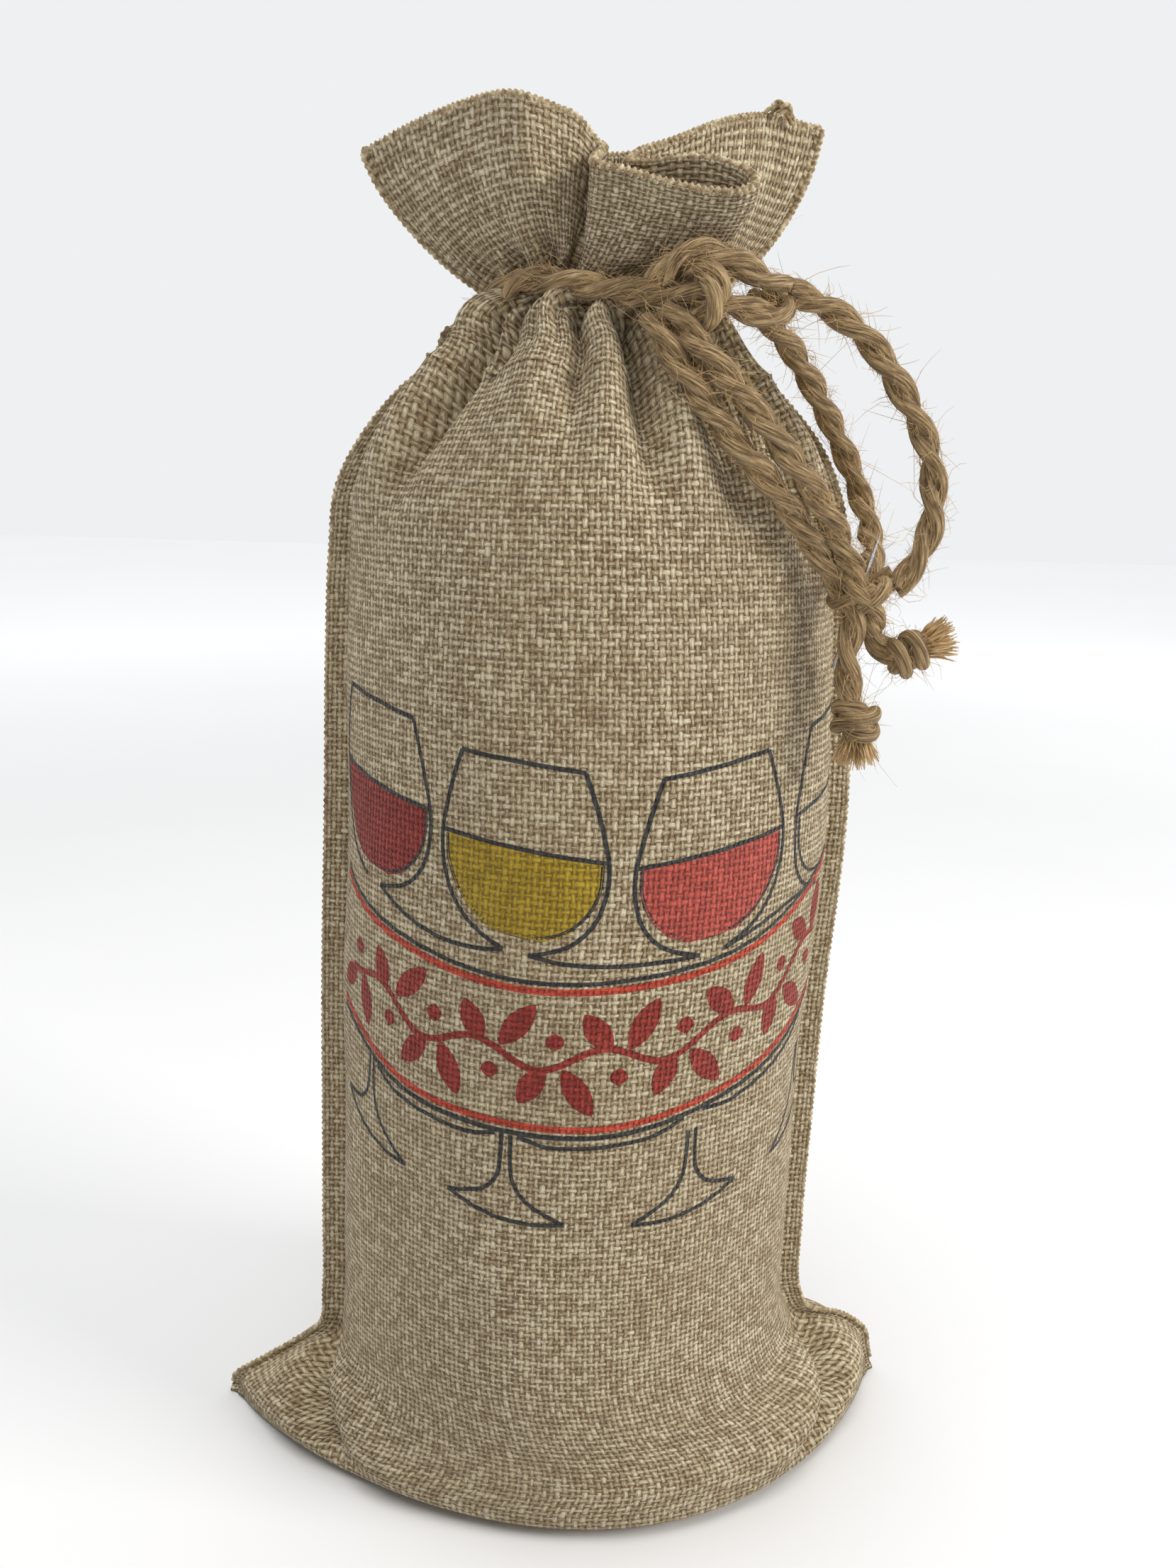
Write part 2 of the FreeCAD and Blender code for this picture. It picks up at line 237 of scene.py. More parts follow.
class GiftBagPrint(bpy.types.PropertyGroup):
    """The inks printed on the front."""

    line_width: length_setting("Line width", "Black outlines", 0.00080)
    outline: colour_setting("Outline", "Outlines of the glasses", (38, 44, 50))
    banner: colour_setting("Banner", "Edge lines of the banner", (196, 58, 36))
    ornament: colour_setting("Ornament", "Leaves on the banner", (150, 26, 22))
    red_wine: colour_setting("Red wine", "Fill of the first glass", (140, 22, 20))
    white_wine: colour_setting("White wine", "Fill of the second glass", (170, 140, 16))
    rose_wine: colour_setting("Pink wine", "Fill of the third glass", (186, 72, 62))


class GiftBagRope(bpy.types.PropertyGroup):
    """The jute drawstring."""

    diameter: length_setting("Diameter", "Two plies twisted together", 0.0045)
    pitch: length_setting("Pitch", "One full turn of a ply", 0.0170)
    light: colour_setting("Light fibre", "Palest fibres", (226, 194, 144))
    middle: colour_setting("Middle fibre", "Most fibres", (166, 136, 92))
    dark: colour_setting("Dark fibre", "Between the plies", (92, 70, 46))
    hairs: FloatProperty(name="Hairs", description="Loose hairs per millimetre of rope", default=12.0, min=0, max=14)


class GiftBagStage(bpy.types.PropertyGroup):
    """The pale table, the lights and the camera."""

    floor: colour_setting("Floor", "Pale table top", (240, 241, 243))
    camera_height: length_setting("Camera height", "Above the table", 0.2106)
    camera_distance: length_setting("Camera distance", "In front of the bag's middle", 0.2403)
    camera_pitch: FloatProperty(
        name="Pitch", description="Downward tilt of the camera", subtype="ANGLE", default=math.radians(14)
    )
    camera_roll: FloatProperty(
        name="Roll", description="Sideways tilt of the camera", subtype="ANGLE", default=math.radians(1.5)
    )
    key_power: FloatProperty(name="Light", description="Lamp power in watts, before its share", default=11.0, min=0)


# ---- shape of the cloth, in millimetres -----------------------------------------------

BODY_WIDTH = 109.0  # from side seam to side seam over most of the body
TABLE_COLUMNS = 301
ROW_STEPS = 600
SEAM_HALF_GAP = 0.25
FRONT, BACK = -1, 1
LEFT_FIN, RIGHT_FIN = 5.0, 4.2  # flat pressed edge beside each side seam
EAR_FIN = 0.4  # share of that width left at the corners
EAR_HOLLOW = 0.5  # how much flatter the corners are behind than in front
FIN_LIFT = 1.0  # a panel's outer face stands this far from the seam plane
TIE_RADIUS = 17.2
TIE_EASE = 9  # columns over which the gathers' spacing is evened out
UNDER_SPREAD, UNDER_DROP = 1.02, 1.6  # the row under the rope, from the row it presses
OVER_RISE = 1.3  # the row over the rope, from the same
RUFFLE_START = 1.2  # the ruffle turns outward this far over that
EAR_HEIGHTS = 12, 30  # the fins come to their full width between these heights
HOLLOW_HEIGHTS = 34, 18  # the corners come to their full hollow between these heights

# height in the middle, left seam edge, right seam edge, front depth, back depth, roundness, skew
BODY_ROWS = [
    (0.35, (-81, -1, 0.6), (74, 12, 0.6), 0.5, 0.5, 0.70, 0.00),
    (0.35, (-81, -1, 0.7), (74, 12, 0.7), 22, 18, 0.70, 0.20),
    (0.50, (-80.9, -1, 0.9), (73.9, 12, 0.9), 42.5, 32, 0.74, 0.24),
    (2.4, (-80.7, -1, 2.2), (73.7, 12, 2.6), 46.0, 36, 0.74, 0.24),
    (6.5, (-80.0, -1, 4.2), (73.0, 12, 5.5), 47.4, 38, 0.72, 0.22),
    (12, (-73.6, -0.8, 8.4), (71.4, 11.2, 11.6), 47.2, 39.5, 0.68, 0.18),
    (18, (-66.4, -0.4, 13.0), (65.2, 9.0, 17.2), 46.2, 41, 0.64, 0.12),
    (25, (-59.8, 0, 18.0), (56.4, 4.8, 22.0), 44.9, 42, 0.61, 0.07),
    (34, (-58.5, 0, 27.6), (52.5, 1.9, 29.5), 43.8, 43, 0.59, 0.04),
    (50, (-57.9, 0, 46.5), (51.4, 0.6, 47.0), 43, 43, 0.58, 0.02),
    (75, (-57.2, 0, 74.0), (51.6, 0, 74.0), 43, 43, 0.58, 0.0),
    (100, (-56.6, 0, 100.0), (52.1, 0, 100.0), 43, 43, 0.58, 0.0),
    (150, (-54.6, 0, 150.0), (54.0, 0, 150.0), 42.8, 43, 0.58, 0.0),
    (178, (-53.6, 0, 178.0), (52.4, 0, 178.0), 42.4, 42.6, 0.58, 0.0),
    (197, (-52.4, 0, 197.5), (50.6, 0, 197.0), 41.0, 41.0, 0.58, 0.0),
    (209, (-50.8, 0, 209.8), (48.4, 0, 209.0), 38.6, 38.6, 0.57, 0.0),
    (219, (-45.6, 0, 219.5), (43.8, 0, 219.0), 34.8, 34.8, 0.56, 0.0),
    (227.5, (-38.4, 0, 228.0), (37.0, 0, 227.0), 30.0, 30.0, 0.55, 0.0),
    (234.5, (-31.4, 0, 234.0), (30.2, 0, 233.5), 25.6, 25.6, 0.53, 0.0),
    (239.5, (-29.0, 0, 239.4), (25.8, 0, 238.8), 22.0, 22.0, 0.51, 0.0),
]

# share of the cloth's width from the left seam, and where it lies round the tie in degrees from the front
TIE_ANGLES_FRONT = [
    (0, -90), (0.12, -50), (0.227, -28), (0.32, -21), (0.38, -14), (0.433, 3), (0.52, 44), (0.687, 66), (1, 90),
]
TIE_ANGLES_BACK = [(0, -90), (0.2, -58), (0.4, -22), (0.5, 0), (0.6, 20), (0.8, 55), (1, 90)]

# degrees from the front, positive to the right, and the rope's height there
ROPE_HEIGHTS = [
    (-180, 242.4), (-143, 241.4), (-114, 241.0), (-85, 241.8), (-56, 244.2), (-27, 246.2), (2, 243.6),
    (30, 242.8), (72, 243.2), (101, 243.6), (130, 243.6), (159, 243.2), (180, 242.4),
]

# the ruffle's top edge, seam to seam: share of the cloth's width, then where it is
MOUTH_FRONT = [
    (0.0, (-44.7, 0.0, 269.5)), (0.06, (-37.5, -5.0, 272.0)), (0.145, (-25.0, -13.0, 274.4)),
    (0.205, (-16.4, -19.2, 274.6)), (0.227, (-13.4, -20.6, 274.0)), (0.262, (-8.0, -18.6, 273.0)),
    (0.296, (-3.6, -15.4, 271.8)), (0.318, (-0.8, -11.4, 269.0)), (0.338, (-2.2, -17.0, 265.6)),
    (0.362, (-1.6, -22.8, 263.4)), (0.4, (3.6, -26.0, 261.6)), (0.45, (10.4, -28.6, 259.4)),
    (0.495, (17.6, -30.4, 257.8)), (0.53, (23.0, -31.0, 257.8)), (0.549, (25.4, -29.0, 259.4)),
    (0.566, (24.2, -26.4, 261.6)), (0.59, (20.6, -22.6, 264.0)), (0.63, (13.6, -17.4, 265.8)),
    (0.662, (7.6, -14.2, 265.6)), (0.68, (5.2, -11.8, 266.4)), (0.70, (6.6, -9.4, 268.6)),
    (0.75, (13.0, -5.6, 271.8)), (0.82, (21.6, 0.4, 276.4)), (0.9, (31.0, 7.4, 279.6)), (1.0, (42.4, 15.4, 279.6)),
]
MOUTH_BACK = [
    (0.0, (-44.7, 0.0, 269.5)), (0.1, (-36.6, 9.6, 271.0)), (0.2, (-26.0, 15.4, 272.6)), (0.28, (-17.0, 13.6, 273.4)),
    (0.36, (-8.6, 15.6, 274.4)), (0.47, (3.0, 22.6, 275.6)), (0.57, (13.6, 20.6, 276.8)), (0.66, (20.0, 15.4, 277.8)),
    (0.76, (26.6, 19.6, 279.0)), (0.88, (36.0, 22.6, 280.0)), (1.0, (42.4, 15.4, 279.6)),
]

# gathers below the tie: place at the tie, place at the foot, foot height, lift, width (places as shares of the width)
FRONT_FOLDS = [
    (0.155, 0.050, 196, -2.4, 0.018), (0.222, 0.100, 186, 4.6, 0.050), (0.290, 0.200, 200, -6.8, 0.024),
    (0.320, 0.290, 226, 2.6, 0.012), (0.338, 0.312, 224, -2.8, 0.010), (0.400, 0.400, 208, 3.4, 0.056),
    (0.386, 0.382, 230, -1.8, 0.009), (0.428, 0.430, 229, -1.6, 0.009), (0.470, 0.470, 216, -3.4, 0.015),
    (0.515, 0.525, 204, 3.4, 0.036), (0.570, 0.585, 202, -5.6, 0.021), (0.620, 0.640, 196, 4.0, 0.034),
    (0.680, 0.700, 200, -4.0, 0.021), (0.735, 0.765, 190, 2.6, 0.032), (0.800, 0.830, 190, -3.8, 0.017),
    (0.845, 0.875, 184, 3.0, 0.024), (0.900, 0.920, 180, -3.0, 0.014), (0.935, 0.950, 178, 1.8, 0.016),
]
BACK_FOLDS = [
    (0.07, 0.06, 196, -2.2, 0.020), (0.14, 0.12, 190, 3.2, 0.036), (0.22, 0.19, 202, -3.6, 0.022),
    (0.30, 0.28, 196, 3.0, 0.040), (0.385, 0.37, 206, -3.8, 0.020), (0.45, 0.45, 200, 2.4, 0.036),
    (0.52, 0.52, 210, -3.2, 0.018), (0.59, 0.60, 192, 3.6, 0.040), (0.67, 0.69, 202, -3.8, 0.022),
    (0.75, 0.78, 194, 2.8, 0.036), (0.83, 0.86, 200, -3.0, 0.018), (0.90, 0.92, 188, 2.2, 0.026),
]
FOLD_TOP = 240.0  # the gathers' places at the tie hold at this height
TIE_PLEATS, PLEAT_DEPTH, PLEAT_REACH = 9.5, 2.6, 9.0
RUFFLE_WAVE, RUFFLE_WAVES, BODY_UNEVEN = 0.5, 4.5, 0.35
# where a shape starts and where it has its full strength: how far over the tie, then heights
RUFFLE_BAND = 2, 14
BODY_FOOT, BODY_TOP = (30, 60), (236, 205)
CORNER_FOOT, CORNER_TOP = (1.5, 11), (29, 20)
CREASE_TOP, CREASE_FALL = 24, 22  # a corner's crease leans in from this height, over this fall
HEM_RIDGE = 0.45
SEAM_FLAT = 0.055  # share of the width beside a seam that stays flat
TABLE_GAP = 0.3  # the cloth's least height over the table
CORNER_CREASES = [(0.045, 0.20), (0.955, -0.19)]  # place over a corner, and how far it leans in towards the table
CORNER_SHAPE = [(-5.0, 0.0, 0.026), (1.6, -0.075, 0.05), (1.2, 0.08, 0.045)]  # lift, distance from the crease, width
BACK_CORNER = 0.35  # how deep the corners' creases are behind
RUFFLE_SHARES = (0.1, 0.22, 0.36, 0.52, 0.68, 0.84, 1.0)
HEM_HEIGHT = 229.6
DOUBLE_FROM = 246.0  # the cloth is two layers thick over this height
DOUBLE_LAYERS = 1.7  # two pressed layers, in single layers
SINGLE_SHARE = 0.55  # a single layer's share of that


def smooth(low, high, value):
    share = np.clip((np.asarray(value, float) - low) / (high - low), 0, 1)
    return share * share * (3 - 2 * share)


def distances(points):
    """How far along a line each of its points is."""
    return np.r_[0, np.cumsum(np.linalg.norm(np.diff(points, axis=0), axis=1))]


def line_length(points):
    return np.linalg.norm(np.diff(points, axis=0), axis=1).sum()


def directions(line):
    """Unit vectors along a line."""
    tangents = np.gradient(line, axis=0)
    return tangents / np.linalg.norm(tangents, axis=1, keepdims=True)


def even_steps(points, count, stops=None):
    """Points at equal steps of length along a line; stops gives the shares of the length instead."""
    points = np.asarray(points, float)
    lengths = distances(points)
    wanted = (np.linspace(0, 1, count) if stops is None else np.asarray(stops)) * lengths[-1]
    return np.stack([np.interp(wanted, lengths, points[:, k]) for k in range(3)], 1)


def through(knots, values, wanted):
    """A smooth line through values at knots, read at wanted. Values may be numbers or rows of numbers."""
    knots, values, wanted = np.asarray(knots, float), np.asarray(values, float), np.asarray(wanted, float)
    slopes = np.gradient(values, knots, axis=0)
    k = np.clip(np.searchsorted(knots, wanted, side="right") - 1, 0, len(knots) - 2)
    step = knots[k + 1] - knots[k]
    t = (wanted - knots[k]) / step
    shape = (-1,) + (1,) * (values.ndim - 1)
    t, step = t.reshape(shape), step.reshape(shape)
    return (
        (2 * t**3 - 3 * t**2 + 1) * values[k]
        + (t**3 - 2 * t**2 + t) * step * slopes[k]
        + (3 * t**2 - 2 * t**3) * values[k + 1]
        + (t**3 - t**2) * step * slopes[k + 1]
    )


def body_row(side, level, columns):
    """One row of a panel's outer face below the tie, from seam edge to seam edge."""
    middle_z, left, right, front_depth, back_depth, roundness, skew = level
    depth = front_depth if side == FRONT else back_depth
    shrink = (right[0] - left[0]) / BODY_WIDTH
    flat_share = min(1, shrink) * (EAR_FIN + (1 - EAR_FIN) * smooth(*EAR_HEIGHTS, middle_z))
    fins = LEFT_FIN * flat_share, RIGHT_FIN * flat_share
    turn = np.linspace(-math.pi / 2, math.pi / 2, ROW_STEPS)
    across = np.sin(turn)
    start, end = left[0] + fins[0], right[0] - fins[1]
    x = (start + end) / 2 + (end - start) / 2 * across
    slope = (right[1] - left[1]) / (right[0] - left[0])
    lift = min(FIN_LIFT, depth)
    if side == BACK:
        roundness = roundness + EAR_HOLLOW * smooth(*HOLLOW_HEIGHTS, middle_z)
    bulge = (depth - lift) * np.cos(turn).clip(0) ** (2 * roundness) * (1 - side * skew * across)
    y = left[1] + slope * (x - left[0]) + side * (lift + bulge)
    ends = np.abs(across) ** 4
    seam_z = left[2] + (right[2] - left[2]) * (x - left[0]) / (right[0] - left[0])
    z = middle_z * (1 - ends) + seam_z * ends
    body = np.stack([x, y, z], 1)
    edge = SEAM_HALF_GAP * side
    line = np.vstack([(left[0], left[1] + edge, left[2]), body, (right[0], right[1] + edge, right[2])])
    return even_steps(line, columns)


def tie_row(side, u):
    """The row of a panel under the drawstring, gathered into pleats."""
    shares, degrees = zip(*(TIE_ANGLES_FRONT if side == FRONT else TIE_ANGLES_BACK))
    angle = np.interp(u, shares, degrees)
    ease = np.ones(TIE_EASE) / TIE_EASE
    angle = np.convolve(np.pad(angle, TIE_EASE // 2, mode="reflect", reflect_type="odd"), ease, "valid")
    turned = np.radians(angle)
    around = angle if side == FRONT else np.where(angle < 0, -180 - angle, 180 - angle)
    heights = np.interp(around, *zip(*ROPE_HEIGHTS))
    return np.stack([TIE_RADIUS * np.sin(turned), side * TIE_RADIUS * np.cos(turned), heights], 1)


def ruffle_row(side, u, gathered, share):
    """A row of the ruffle, share 0 just over the tie and 1 at its top edge."""
    shares, places = zip(*(MOUTH_FRONT if side == FRONT else MOUTH_BACK))
    mouth = through(shares, places, u)
    outward = 1 - (1 - share) ** (1.9 - 0.65 * smooth(0.2, 0, u) - 0.5 * smooth(0.8, 1, u))[:, None]
    upward = share ** (1.15 + 0.35 * smooth(0.7, 1, u) + 0.2 * smooth(0.25, 0, u))
    row = gathered + (mouth - gathered) * outward
    row[:, 2] = gathered[:, 2] + RUFFLE_START + (mouth[:, 2] - gathered[:, 2] - RUFFLE_START) * upward
    return row


def fold_profile(distance):
    """Rounded ridge, 1 in the middle and 0 beyond about twice its half width."""
    return np.exp(-distance * distance)


def sheet_rows(side, u):
    """All rows of a panel from the bottom seam to the top edge, and which of them lies under the rope."""
    gathered = tie_row(side, u)
    under, over = gathered.copy(), gathered.copy()
    under[:, :2] *= UNDER_SPREAD
    under[:, 2] -= UNDER_DROP
    over[:, 2] += OVER_RISE
    rows = [body_row(side, level, len(u)) for level in BODY_ROWS] + [under, gathered, over]
    ruffle = [ruffle_row(side, u, over, share) for share in RUFFLE_SHARES]
    return np.array(rows + ruffle), len(rows) - 2


class ClothFace:
    """The outer face of one panel as a table of points: u runs over the width, v up from the bottom seam."""

    def __init__(self, side):
        self.side = side
        u = np.linspace(0, 1, TABLE_COLUMNS)
        rows, tie_index = sheet_rows(side, u)
        other, _ = sheet_rows(-side, u)
        steps = [np.linalg.norm(np.diff(sheet, axis=0), axis=2)[:, 30:-30].mean(1) for sheet in (rows, other)]
        stations = np.r_[0, np.cumsum(np.mean(steps, axis=0))]  # both panels are cut to one length
        self.length = float(stations[-1])
        self.tie = float(stations[tie_index])
        self.v = np.linspace(0, self.length, int(self.length) + 1)
        self.table = through(stations, rows, self.v)
        self.table[:, :, 2] = self.table[:, :, 2].clip(TABLE_GAP)
        self.heights = self.table[:, TABLE_COLUMNS // 2, 2].copy()
        self._fold(u)
        self.normals = self._normals(self.table)

    def _normals(self, table):
        along = np.gradient(table, axis=1)
        up = np.gradient(table, axis=0)
        normal = np.cross(along, up) * (1 if self.side == FRONT else -1)
        return normal / np.linalg.norm(normal, axis=2, keepdims=True).clip(1e-9)

    def _fold(self, u):
        """Lifts and sinks the smooth face into its gathers, pleats, corners, hem and slight unevenness."""
        v = self.v[:, None]
        below = self.tie - v
        height = self.heights[:, None]
        lift = np.zeros((len(self.v), TABLE_COLUMNS))
        for top, foot, foot_height, amount, width in FRONT_FOLDS if self.side == FRONT else BACK_FOLDS:
            share = np.clip((height - foot_height) / (FOLD_TOP - foot_height), 0, 1)
            middle = foot + (top - foot) * share
            wide = width * (1.15 - 0.35 * share)  # a gather is narrower at the tie than at its foot
            fades = smooth(0, 0.75, share) * smooth(-0.5, 7, below)
            lift += amount * fades * fold_profile((u - middle) / wide)
        phase = 2 * math.pi * (TIE_PLEATS * u + 0.35 * np.sin(9 * u + self.side))
        lift += PLEAT_DEPTH * np.exp(-((below / PLEAT_REACH) ** 2)) * np.cos(phase)
        lift += smooth(*RUFFLE_BAND, -below) * RUFFLE_WAVE * np.sin(2 * math.pi * RUFFLE_WAVES * u + 0.05 * v)
        body = smooth(*BODY_FOOT, height) * smooth(*BODY_TOP, height)
        uneven = np.sin(0.047 * v + 9 * u) * np.sin(17 * u + 0.021 * v + self.side) + 0.6 * np.sin(0.11 * v - 23 * u)
        lift += BODY_UNEVEN * body * uneven
        corner = smooth(*CORNER_TOP, height) * smooth(*CORNER_FOOT, height)
        corner = corner * (1.0 if self.side == FRONT else BACK_CORNER)
        drop = np.clip((CREASE_TOP - height) / CREASE_FALL, 0, 1)
        for root, lean in CORNER_CREASES:
            from_crease = u - (root + lean * drop)
            for amount, aside, width in CORNER_SHAPE:
                lift += amount * corner * fold_profile((from_crease - aside * np.sign(lean)) / width)
        lift += HEM_RIDGE * fold_profile(height - HEM_HEIGHT) * smooth(self.tie + 2, self.tie - 2, v)
        lift *= smooth(0.0, SEAM_FLAT, u) * smooth(1.0, 1 - SEAM_FLAT, u)
        self.table += self._normals(self.table) * lift[:, :, None]
        self.table[:, :, 2] = self.table[:, :, 2].clip(TABLE_GAP)

    def _read(self, table, u, v):
        column = np.clip(np.asarray(u, float), 0, 1) * (TABLE_COLUMNS - 1)
        row = np.clip(np.asarray(v, float) / self.length, 0, 1) * (len(self.v) - 1)
        i = np.clip(row.astype(int), 0, len(self.v) - 2)
        j = np.clip(column.astype(int), 0, TABLE_COLUMNS - 2)
        a, b = (row - i)[..., None], (column - j)[..., None]
        return (
            table[i, j] * (1 - a) * (1 - b)
            + table[i, j + 1] * (1 - a) * b
            + table[i + 1, j] * a * (1 - b)
            + table[i + 1, j + 1] * a * b
        )

    def at(self, u, v, proud=0.0):
        """Points on the face, in millimetres, standing proud of it."""
        return self._read(self.table, u, v) + self._read(self.normals, u, v) * proud

    def station(self, height):
        """How far up the cloth the middle of the panel reaches a height."""
        body = self.v < self.tie
        return np.interp(height, np.maximum.accumulate(self.heights[body]), self.v[body])


FACES = {}


def face(side):
    if side not in FACES:
        FACES[side] = ClothFace(side)
    return FACES[side]


# ---- mesh helpers ---------------------------------------------------------------------


def finish_mesh(mesh, name, material, smooth_faces=True):
    piece = bpy.data.objects.new(name, mesh)
    bpy.context.scene.collection.objects.link(piece)
    mesh.name = name
    if smooth_faces:
        mesh.polygons.foreach_set("use_smooth", np.ones(len(mesh.polygons), bool))
    mesh.materials.clear()
    mesh.materials.append(material)
    return piece


def vertex_places(mesh):
    flat = np.zeros(len(mesh.vertices) * 3)
    mesh.vertices.foreach_get("co", flat)
    return flat.reshape(-1, 3)


def loop_vertices(mesh):
    """Which vertex each corner of a face is on."""
    corners = np.zeros(len(mesh.loops), int)
    mesh.loops.foreach_get("vertex_index", corners)
    return corners


def grid_piece(name, across, along, shape, material, weld=0.0, close_ends=False, uv_size=(1, 1), flip=False):
    """A grid sheet laid on shape(s, t), which takes two arrays from 0 to 1 and gives millimetres.
    The UV map is s and t times uv_size, in millimetres of cloth or rope."""
    mesh = bpy.data.meshes.new(name)
    bm = bmesh.new()
    bmesh.ops.create_grid(bm, x_segments=across, y_segments=along, size=0.5, calc_uvs=True)
    bm.to_mesh(mesh)
    bm.free()
    flat = vertex_places(mesh)
    s, t = flat[:, 0] + 0.5, flat[:, 1] + 0.5
    corners = loop_vertices(mesh)
    uv = np.stack([s[corners] * uv_size[0], t[corners] * uv_size[1]], 1)
    layer = mesh.uv_layers[0] if mesh.uv_layers else mesh.uv_layers.new(name="UVMap")
    layer.name = "UVMap"
    layer.data.foreach_set("uv", uv.ravel())
    mesh.vertices.foreach_set("co", (shape(s, t) * MM).ravel())
    bm = bmesh.new()
    bm.from_mesh(mesh)
    if weld:
        bmesh.ops.remove_doubles(bm, verts=bm.verts, dist=weld * MM)
    if close_ends:
        bmesh.ops.holes_fill(bm, edges=[e for e in bm.edges if e.is_boundary], sides=0)
        bmesh.ops.recalc_face_normals(bm, faces=bm.faces)
    if flip:
        bmesh.ops.reverse_faces(bm, faces=bm.faces)
    bm.to_mesh(mesh)
    bm.free()
    return finish_mesh(mesh, name, material)


def curve_mesh(curve):
    """The mesh a curve makes; the curve itself is removed."""
    holder = bpy.data.objects.new(curve.name, curve)
    bpy.context.scene.collection.objects.link(holder)
    mesh = bpy.data.meshes.new_from_object(holder.evaluated_get(bpy.context.evaluated_depsgraph_get()))
    bpy.data.objects.remove(holder)
    bpy.data.curves.remove(curve)
    return mesh


def spline_mesh(splines, radius, sides_level=0, order=0):
    """A mesh of many round threads. Each spline is its points and its radii, in millimetres."""
    curve = bpy.data.curves.new("threads", "CURVE")
    curve.dimensions = "3D"
    curve.bevel_depth = radius * MM
    curve.bevel_resolution = sides_level
    curve.resolution_u = 4
    curve.use_fill_caps = True
    for points, radii in splines:
        spline = curve.splines.new("NURBS" if order else "POLY")
        spline.points.add(len(points) - 1)
        co = np.ones((len(points), 4))
        co[:, :3] = np.asarray(points) * MM
        spline.points.foreach_set("co", co.ravel())
        spline.points.foreach_set("radius", np.broadcast_to(np.asarray(radii, float), len(points)).copy())
        if order:
            spline.order_u = order
            spline.use_endpoint_u = True
    return curve_mesh(curve)


def route_line(route, step=0.45):
    """The rope's centreline, in millimetres, read from the smooth curve of a route given in metres."""
    curve = bpy.data.curves.new("route", "CURVE")
    curve.dimensions = "3D"
    curve.resolution_u = 24
    spline = curve.splines.new("NURBS")
    spline.points.add(len(route) - 1)
    for point, place in zip(spline.points, route):
        point.co = (*place, 1)
    spline.order_u = 3
    spline.use_endpoint_u = True
    mesh = curve_mesh(curve)
    line = np.array([v.co for v in mesh.vertices], float) / MM
    bpy.data.meshes.remove(mesh)
    return even_steps(line, max(8, int(line_length(line) / step)))


def frames_along(line):
    """A side vector and an up vector at each point, turning as little as they can."""
    tangents = directions(line)
    side = np.cross(tangents[0], (0.3, 0.2, 0.93))
    side /= np.linalg.norm(side)
    sides = []
    for tangent in tangents:
        side = side - tangent * (side @ tangent)
        side = side / np.linalg.norm(side)
        sides.append(side)
    sides = np.array(sides)
    return sides, np.cross(tangents, sides)


def tube_shape(line, radii, sides, ups):
    """The function grid_piece needs for a tube round a line."""
    stations = np.linspace(0, 1, len(line))

    def shape(s, t):
        angle = 2 * math.pi * s

        def along(rows):
            return np.stack([np.interp(t, stations, rows[:, k]) for k in range(3)], 1)

        radius = np.interp(t, stations, radii)
        return along(line) + radius[:, None] * (
            along(sides) * np.cos(angle)[:, None] + along(ups) * np.sin(angle)[:, None]
        )

    return shape


def join(name, pieces):
    """Several meshes as one piece."""
    bm = bmesh.new()
    for piece in pieces:
        bm.from_mesh(piece.data)
    mesh = bpy.data.meshes.new(name)
    bm.to_mesh(mesh)
    bm.free()
    material = pieces[0].data.materials[0]
    for piece in pieces:
        old = piece.data
        bpy.data.objects.remove(piece)
        bpy.data.meshes.remove(old)
    return finish_mesh(mesh, name, material)


PLY_OFFSET, PLY_RADIUS = 0.235, 0.315  # of the rope's diameter


def twisted_rope(name, line, diameter, pitch, material, start_turn=0.0, seed=1):
    """Two plies wound round a line, in millimetres."""
    rng = np.random.default_rng(seed)
    sides, ups = frames_along(line)
    travelled = distances(line)
    plies = []
    for ply in range(2):
        turn = start_turn + math.pi * ply - 2 * math.pi * travelled / pitch
        offset = PLY_OFFSET * diameter
        centre = line + offset * (sides * np.cos(turn)[:, None] + ups * np.sin(turn)[:, None])
        lumps = np.convolve(rng.normal(0, 1, len(line) + 12), np.ones(13) / 13, "valid")
        radii = PLY_RADIUS * diameter * (1 + 0.14 * lumps)
        ply_sides, ply_ups = frames_along(centre)
        shape = tube_shape(centre, radii, ply_sides, ply_ups)
        around = 2 * math.pi * PLY_RADIUS * diameter
        plies.append(
            grid_piece(f"{name}_ply{ply}", 10, len(line) - 1, shape, material, weld=0.002, close_ends=True,
                       uv_size=(around, travelled[-1]))
        )
    return join(name, plies)


# ---- materials ------------------------------------------------------------------------


